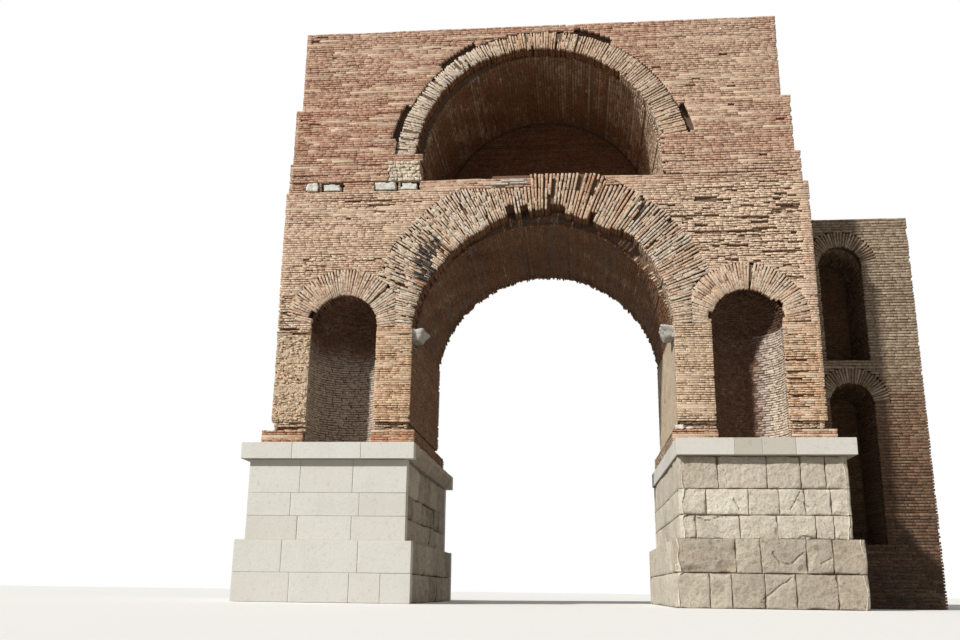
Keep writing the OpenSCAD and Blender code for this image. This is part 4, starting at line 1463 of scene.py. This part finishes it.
def old_course(stones, origin, inward, length, bottom, top, cuts, tones, step, rng, wear=1.0,
               chips=(), cracks=(), corners=True, base=0.004, bare_top=False):
    """One course of old blocks; cuts are shares of its length."""
    edges = [0.0, *[length * cut for cut in cuts], length]
    facing = [(rng.normal(0, 0.006 * wear, 3), tone) for tone in tones]

    def shape(s, z, places):
        waver = clouds(places, 0.13, 1)
        s_in = np.clip(s + 0.014 * waver, 0, length - 1e-6)
        lump = clouds(places, 0.45, 2)
        fine = clouds(places, 0.13, 3)
        grit = clouds(places, 0.045, 4)
        depth = base + wear * (0.014 * np.maximum(lump + 0.3, 0) + 0.012 * (fine + 0.3)
                               + 0.011 * grit)
        tone = 0.08 * lump - 0.10 * fine - 0.10 * grit
        gap = np.minimum(z - bottom, top - z + 0.03 * bare_top) + 0.008 * fine
        for a, b, ((back, lean, turn), hue) in zip(edges, edges[1:], facing):
            here = (s_in >= a) & (s_in < b)
            depth += here * (abs(back) + lean * (2 * (s_in - a) / (b - a) - 1)
                             + turn * (2 * (z - bottom) / (top - bottom) - 1))
            tone += here * hue
            for edge in (a, b):
                if 0 < edge < length:
                    gap = np.where(here, np.minimum(gap, abs(s_in - edge)), gap)
        gap = np.maximum(gap, 0)
        worn = np.clip(0.55 + 0.9 * clouds(places, 0.28, 5), 0, 1.4)
        depth += wear * 0.030 * worn * np.exp(-gap / 0.050)
        open_joint = np.exp(-(gap / (0.005 + 0.014 * worn ** 2)) ** 2)
        depth += JOINT_DEPTH * open_joint
        tone -= (0.20 + 0.25 * worn) * open_joint
        # Chips and cracks are also darkened in tone: painted shade in their hollows.
        for cs, cz, rs, rz, deep in chips:
            away = ((s - cs) / rs) ** 2 + ((z - cz) / rz) ** 2 + 0.45 * fine + 0.25 * grit
            bite = np.clip(1.25 * (1.0 - away), 0, 1)
            depth += deep * bite * (0.8 + 0.3 * grit)
            tone -= 0.10 * bite
        for line in cracks:
            cleft = np.exp(-(to_crack(s + 0.02 * waver, z + 0.02 * fine, line) / 0.011) ** 2)
            depth += CRACK_DEPTH * cleft
            tone -= 0.25 * cleft
        round_off = np.clip(0.075 * (1 + 0.8 * clouds(places, 0.3, 6)), 0.008, 0.12)
        for end in (s, length - s) if corners else ():
            inside = np.clip(round_off - end, 0, round_off)
            depth += round_off - np.sqrt(np.maximum(round_off ** 2 - inside ** 2, 0))
        return depth, tone

    skin(stones, origin, inward, grid_lines(0.0, length, step, edges[1:-1]),
         grid_lines(bottom, top, step, (bottom, top)), shape, mitre=corners)


# %% The courses of the right pedestal
# A chip has a place, its half width and half height, and a depth; a crack has corners
PLINTH_CHIPS = ((.42, .80, .30, .09, .05), (1.1, .85, .22, .16, .05), (2.42, 1.05, .22, .12, .02),
                (2.72, .82, .12, .10, .05), (.95, .40, .15, .20, .03), (3.3, .74, .25, .05, .03))
PLINTH_CRACKS = ([(2.1, 1.17), (2.24, .93), (2.5, .95), (2.74, 1.17)], [(2.47, .66), (1.84, .2)],
                 [(3.1, .95), (3.3, 1.05)])
DIE_CHIPS = ((.75, 1.93, .70, .06, .045), (2.1, 2.53, .12, .04, .04), (.43, 2.48, .10, .06, .03),
             (2.07, 1.60, .04, .14, .05), (2.7, 1.49, .22, .05, .05), (3.2, 2.55, .2, .05, .03),
             (1.4, 1.95, .25, .04, .03), (3.45, 2.0, .2, .05, .03))
DIE_CRACKS = ([(2.63, 2.48), (2.38, 2.08)], [(2.55, 2.32), (2.8, 2.14)],
              [(.4, 1.90), (.62, 1.84), (.85, 1.93)], [(1.2, 2.3), (1.32, 2.08)])
RIGHT_COURSES = ((0.0, 0.73, (.184, .298, .469, .63, .84), (.46, .46, .36, .40, .31, .31)),
                 (0.73, 1.45, (.327, .457, .694, .829), (.30, .38, .40, .37, .30)),
                 (1.45, 1.97, (.095, .351, .569, .787, .891), (.6, .68, .62, .66, .6, .56)),
                 (1.97, 2.54, (.161, .408, .588, .735, .886), (.7, .74, .62, .7, .66, .62)),
                 (2.54, 3.26, (.237, .526, .722, .867), (.42, .50, .44, .52, .46)))
SIDE_CUTS = ((0.12, 0.29, 0.45, 0.61, 0.80), (0.2, 0.37, 0.52, 0.72, 0.88))
PLINTH_COURSES = 2


def side_hues(rng, middle, spread):
    return [middle + spread * rng.normal() for _ in range(6)]


rng = np.random.default_rng(903)
stones = Stones()
for index, (bottom, top, cuts, tones) in enumerate(RIGHT_COURSES):
    plinth = index < PLINTH_COURSES
    inset = 0.0 if plinth else SET_BACK
    start, end, edge = PLINTH_IN + inset, PLINTH_OUT - inset, PLINTH_Y - inset
    chips, cracks = (PLINTH_CHIPS, PLINTH_CRACKS) if plinth else (DIE_CHIPS, DIE_CRACKS)
    bare = index == PLINTH_COURSES - 1
    old_course(stones, (start, -edge, 0), (0, 1, 0), end - start, bottom, top, cuts, tones,
               0.025, rng, 1.0, chips, cracks, bare_top=bare)
    side_cuts = SIDE_CUTS[index % 2]
    hues = side_hues(rng, 0.68, 0.07)
    for origin, inward, length, its_cuts, its_tones, step in (
            ((start, edge, 0), (1, 0, 0), 2 * edge, side_cuts, hues, 0.055),
            ((end, -edge, 0), (-1, 0, 0), 2 * edge, side_cuts, hues, 0.10),
            ((end, edge, 0), (0, -1, 0), end - start, [1 - cut for cut in reversed(cuts)],
             tones, 0.07)):
        old_course(stones, origin, inward, length, bottom, top, its_cuts, its_tones, step, rng,
                   bare_top=bare)
stones.finish("right_pedestal_blocks", old_limestone, 40)

# %% The old side of the left pedestal
NEW_BAND = 0.31
stones = Stones()
for index, (bottom, top, inset, *_) in enumerate(LEFT_COURSES[:-1]):
    hues = side_hues(rng, 0.32, 0.08)
    edge = PLINTH_Y - inset - NEW_BAND
    old_course(stones, (-PLINTH_IN - inset, -edge, 0), (-1, 0, 0), 2 * edge, bottom, top,
               SIDE_CUTS[index % 2], hues, 0.035, rng, 2.4, corners=False, base=0.02,
               bare_top=index == PLINTH_COURSES - 1)


def cap_moulding(s, z, places):
    """A worn throat under a flat rim, broken off here and there."""
    share = np.clip((LEFT_CAP - z) / (LEFT_CAP - LEFT_DIE), 0, 1)
    lump = clouds(places, 0.4, 7)
    fine = clouds(places, 0.1, 8)
    depth = np.interp(share, [0, 0.30, 0.36, 0.85, 1.0], [0.015, 0.02, 0.05, 0.13, 0.17])
    depth = depth + 0.06 * np.maximum(lump, 0) + 0.022 * fine
    return depth, 0.36 + 0.12 * lump - 0.12 * fine - 0.15 * share


edge = PLINTH_Y - NEW_BAND
skin(stones, (-PLINTH_IN, -edge, 0), (-1, 0, 0), grid_lines(0.0, 2 * edge, 0.045),
     np.linspace(LEFT_DIE, LEFT_CAP, 14), cap_moulding)
stones.finish("left_pedestal_old_side", old_limestone, 40)

# %% The cores of the pedestals
for node in ("left_plinth", "left_die", "left_cap", "right_plinth", "right_die", "right_cap"):
    left = node.startswith("left")
    new = left or node == "right_cap"
    inset = 0.014 if new else 0.13
    mass = core(node, inset, new_limestone if new else old_limestone,
                keep_low=not node.endswith("plinth"), keep_high=not node.endswith("cap"))
    if left:
        sink(mass, 0, high(node).x - inset, -0.22)

# %% The limed side of the right pier
def limed_jamb(s, z, places):
    lump = clouds(places, 0.5, 11)
    fine = clouds(places, 0.12, 12)
    pit = np.clip((clouds(places, 0.2, 13) - 0.42) / 0.12, 0, 1)
    depth = 0.012 + 0.020 * np.maximum(lump, 0) + 0.012 * (fine + 0.5) + 0.04 * pit
    return depth, 0.70 + 0.4 * lump - 0.2 * fine - 0.6 * pit


stones = Stones()
skin(stones, (PASSAGE, WALL_Y - 0.03, 0), (1, 0, 0), grid_lines(0.0, 2 * WALL_Y - 0.27, 0.05),
     grid_lines(SCAR_TOP, IMPOST - 0.005, 0.05), limed_jamb, 0.05)
stones.finish("right_pier_plaster", plaster, 40)

# %% The stripped strip of the left pier
def stripped(s, z, places):
    """The facing has gone, and the rubble behind it is bedded in pale mortar."""
    lump = clouds(places * (1, 1, 1.6), 0.19, 21)
    fine = clouds(places * (1, 1, 1.4), 0.085, 22)
    grit = clouds(places, 0.042, 23)
    depth = 0.070 + 0.030 * lump + 0.030 * fine + 0.020 * grit
    return depth, 0.50 + 0.10 * lump - 0.25 * fine - 0.22 * grit


STRIP_BOTTOM = SCAR_TOP + 0.005
stones = Stones()
skin(stones, (-WALL_X + 0.01, -WALL_Y, 0), (0, 1, 0),
     grid_lines(0.0, WALL_X - NICHE_OUT - NICHE_R - 0.02, 0.028),
     grid_lines(STRIP_BOTTOM, RUBBLE_TOP, 0.028), stripped, 0.14)
stones.finish("left_pier_rubble", plaster, 30)
rng = np.random.default_rng(951)
lumps = []
for start in (0.0, 0.028):
    lay(lumps, -WALL_Y + 0.02, (0, 1, 0),
        lambda z: [(-WALL_X + 0.02, -NICHE_OUT - NICHE_R - 0.01)], STRIP_BOTTOM + start,
        RUBBLE_TOP, 0.060, rng, 0.70, 0.35, (0.05, 0.14), 0.06, deepest=0.09)
lumps = [row for row in lumps if rng.random() < 0.72]
make_bricks("left_pier_lumps", lumps, pier_brick, 952, 0.014)


# %% [markdown]
# ## Marble
# A few blocks of the lost marble dress are still in place: the rubble and marble under the
# ring of the recess, a row of blocks in the ledge, and two stumps of the moulded cornice at
# the springing line. All are broken, so they are cut from a finer block and made ragged.

# %% Broken blocks in the ledge
def broken(stones, xs, ys, zs, tone, seed, radius, wave):
    stones.put(shaped_block(WORN_BLOCK, *zip(xs, ys, zs), radius, wave, seed), WORN_FACES, tone)


stones = Stones()
lowest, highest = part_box("ledge_blocks")
for index, ends in enumerate(LEDGE_STONES):
    broken(stones, ends, (lowest.y + 0.01 * index, highest.y),
           (LEDGE, STONE_TOP - 0.02 * (index % 2)), 0.80 - 0.06 * (index % 3), 11 + index, 0.02,
           0.045)
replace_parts(stones.finish("ledge_blocks_marble", marble, 35), "ledge_blocks")

# %% The rubble under the ring of the recess
rng = np.random.default_rng(905)
lowest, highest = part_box("springer_block")
right_end = highest.x - AXIS
rubble = []


def across_springer(z):
    """The right end is broken off in a slant."""
    lean = 0.10 * (z - lowest.z) / (highest.z - lowest.z)
    return [(lowest.x - AXIS + 0.005, right_end - lean)]


for plane, inward, stretches, tone, lengths in (
        (lowest.y, (0, 1, 0), across_springer, 0.85, (0.07, 0.17)),
        (right_end - 0.05, (-1, 0, 0), lambda z: [(lowest.y + 0.1, highest.y)], 0.8,
         (0.1, 0.2))):
    lay(rubble, plane, inward, stretches, lowest.z, highest.z - 0.01, 0.085, rng, tone, 0.45,
        lengths, 0.10, deepest=0.06)
make_bricks("springer_block_marble", rubble, rubble_stone, 906, 0.010)
core("springer_block", 0.07, mortar)

# %% Stray pieces
stones = Stones()
for ends, near, rise, hue, seed in (((3.07, 3.36), -2.74, 0.15, 0.95, 41),
                                    ((3.34, 3.56), -2.72, 0.09, 0.8, 43)):
    broken(stones, ends, (near, -2.50), (FOOT_TOP - 0.01, FOOT_TOP + rise), hue, seed, 0.04,
           0.08)
for start, end, z, hue in ((-1.30, -0.82, 10.30, 0.55), (-0.80, -0.32, 10.32, 0.45),
                           (-1.02, -0.42, 10.38, 0.5)):
    broken(stones, (start, end), (-2.585, -2.40), (z - 0.022, z + 0.022), hue, 45 + start, 0.01,
           0.01)
stones.finish("stray_marble", marble, 35)

# %% The two stumps of the cornice
for node, seed in (("left_impost_block", 5), ("right_impost_block", 7)):
    lowest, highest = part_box(node)
    points = shaped_block(WORN_BLOCK, lowest, highest, 0.03, 0.05, seed)
    # The two lower thirds step back under a rim, as on the lost cornice
    share = (highest.z - points[:, 2]) / (highest.z - lowest.z)
    back = np.interp(share, [0, 0.22, 0.26, 0.50, 0.56, 0.74, 0.80, 1.0],
                     [0.0, 0.0, 0.035, 0.060, 0.085, 0.085, 0.115, 0.125])
    middle, half = (lowest + highest) / 2, (highest - lowest) / 2
    for axis in (0, 1):
        points[:, axis] -= (points[:, axis] - middle[axis]) / half[axis] * back
    piece = piece_of(node + "_marble", points, WORN_FACES,
                     0.72 - 0.35 * share + 0.2 * clouds(points, 0.1, seed), marble)
    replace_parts(piece, node)


# %% [markdown]
# ## Floor, light and camera
# The floor is plain and pale. One wide lamp stands to the left of the camera, as high as
# the afternoon sun, and an even sky fills the shade. The camera stands low, a little to the
# right of the passage, and looks up.

# %% Floor
select_only()
bpy.ops.mesh.primitive_plane_add(size=400, location=(0, 0, -0.002))
floor = bpy.context.object
floor.name = "floor"
pale = Finish("floor")
seen = pale.node("LightPath", out="Is Camera Ray")
shade = pale.tint(seen, (0.42, 0.40, 0.37), (0.90, 0.89, 0.87))
floor.data.materials.append(pale.close(shade, 0.9, pale.grain(0.5), 0.0))

# %% Lamp and sky
select_only()
bpy.ops.object.light_add(type="SUN")
lamp = bpy.context.object
lamp.data.energy = 4.1
lamp.data.angle = math.radians(3)
lamp.data.color = (1.0, 0.97, 0.92)
from_left = math.radians(43)
height = math.radians(34)
towards = Vector((-math.sin(from_left) * math.cos(height),
                  -math.cos(from_left) * math.cos(height), math.sin(height)))
lamp.rotation_euler = towards.to_track_quat("Z", "Y").to_euler()
world = bpy.data.worlds.new("sky")
bpy.context.scene.world = world
sky = Board(world)
rays = sky.node("LightPath").socket.node.outputs
seen = sky.node("Math", {"operation": "MAXIMUM"},
                {0: Value(sky, rays["Is Camera Ray"]), 1: Value(sky, rays["Is Glossy Ray"])})
dim = sky.node("Background", None, {"Color": (0.90, 0.95, 1.0, 1.0), "Strength": 0.24})
bright = sky.node("Background", None, {"Color": (1.0, 1.0, 1.0, 1.0), "Strength": 1.0})
sky.node("OutputWorld", None, {"Surface": sky.node("MixShader", None,
                                                   {0: seen, 1: dim, 2: bright})})

# %% Camera
eye = Vector((-0.565, -25.65, 0.30))
right = Vector((0.99540, 0.09494, 0.01305)).normalized()
forward = Vector((-0.09498, 0.95922, 0.26622)).normalized()
up = right.cross(forward).normalized()
right = forward.cross(up).normalized()
bpy.ops.object.camera_add(location=eye)
camera = bpy.context.object
turned = Matrix((right, up, -forward)).transposed()
camera.matrix_world = Matrix.Translation(eye) @ turned.to_4x4()
camera.data.lens = 36.75
camera.data.sensor_width = 36
camera.data.clip_end = 500
bpy.context.scene.camera = camera
bpy.context.scene.view_settings.view_transform = "Standard"
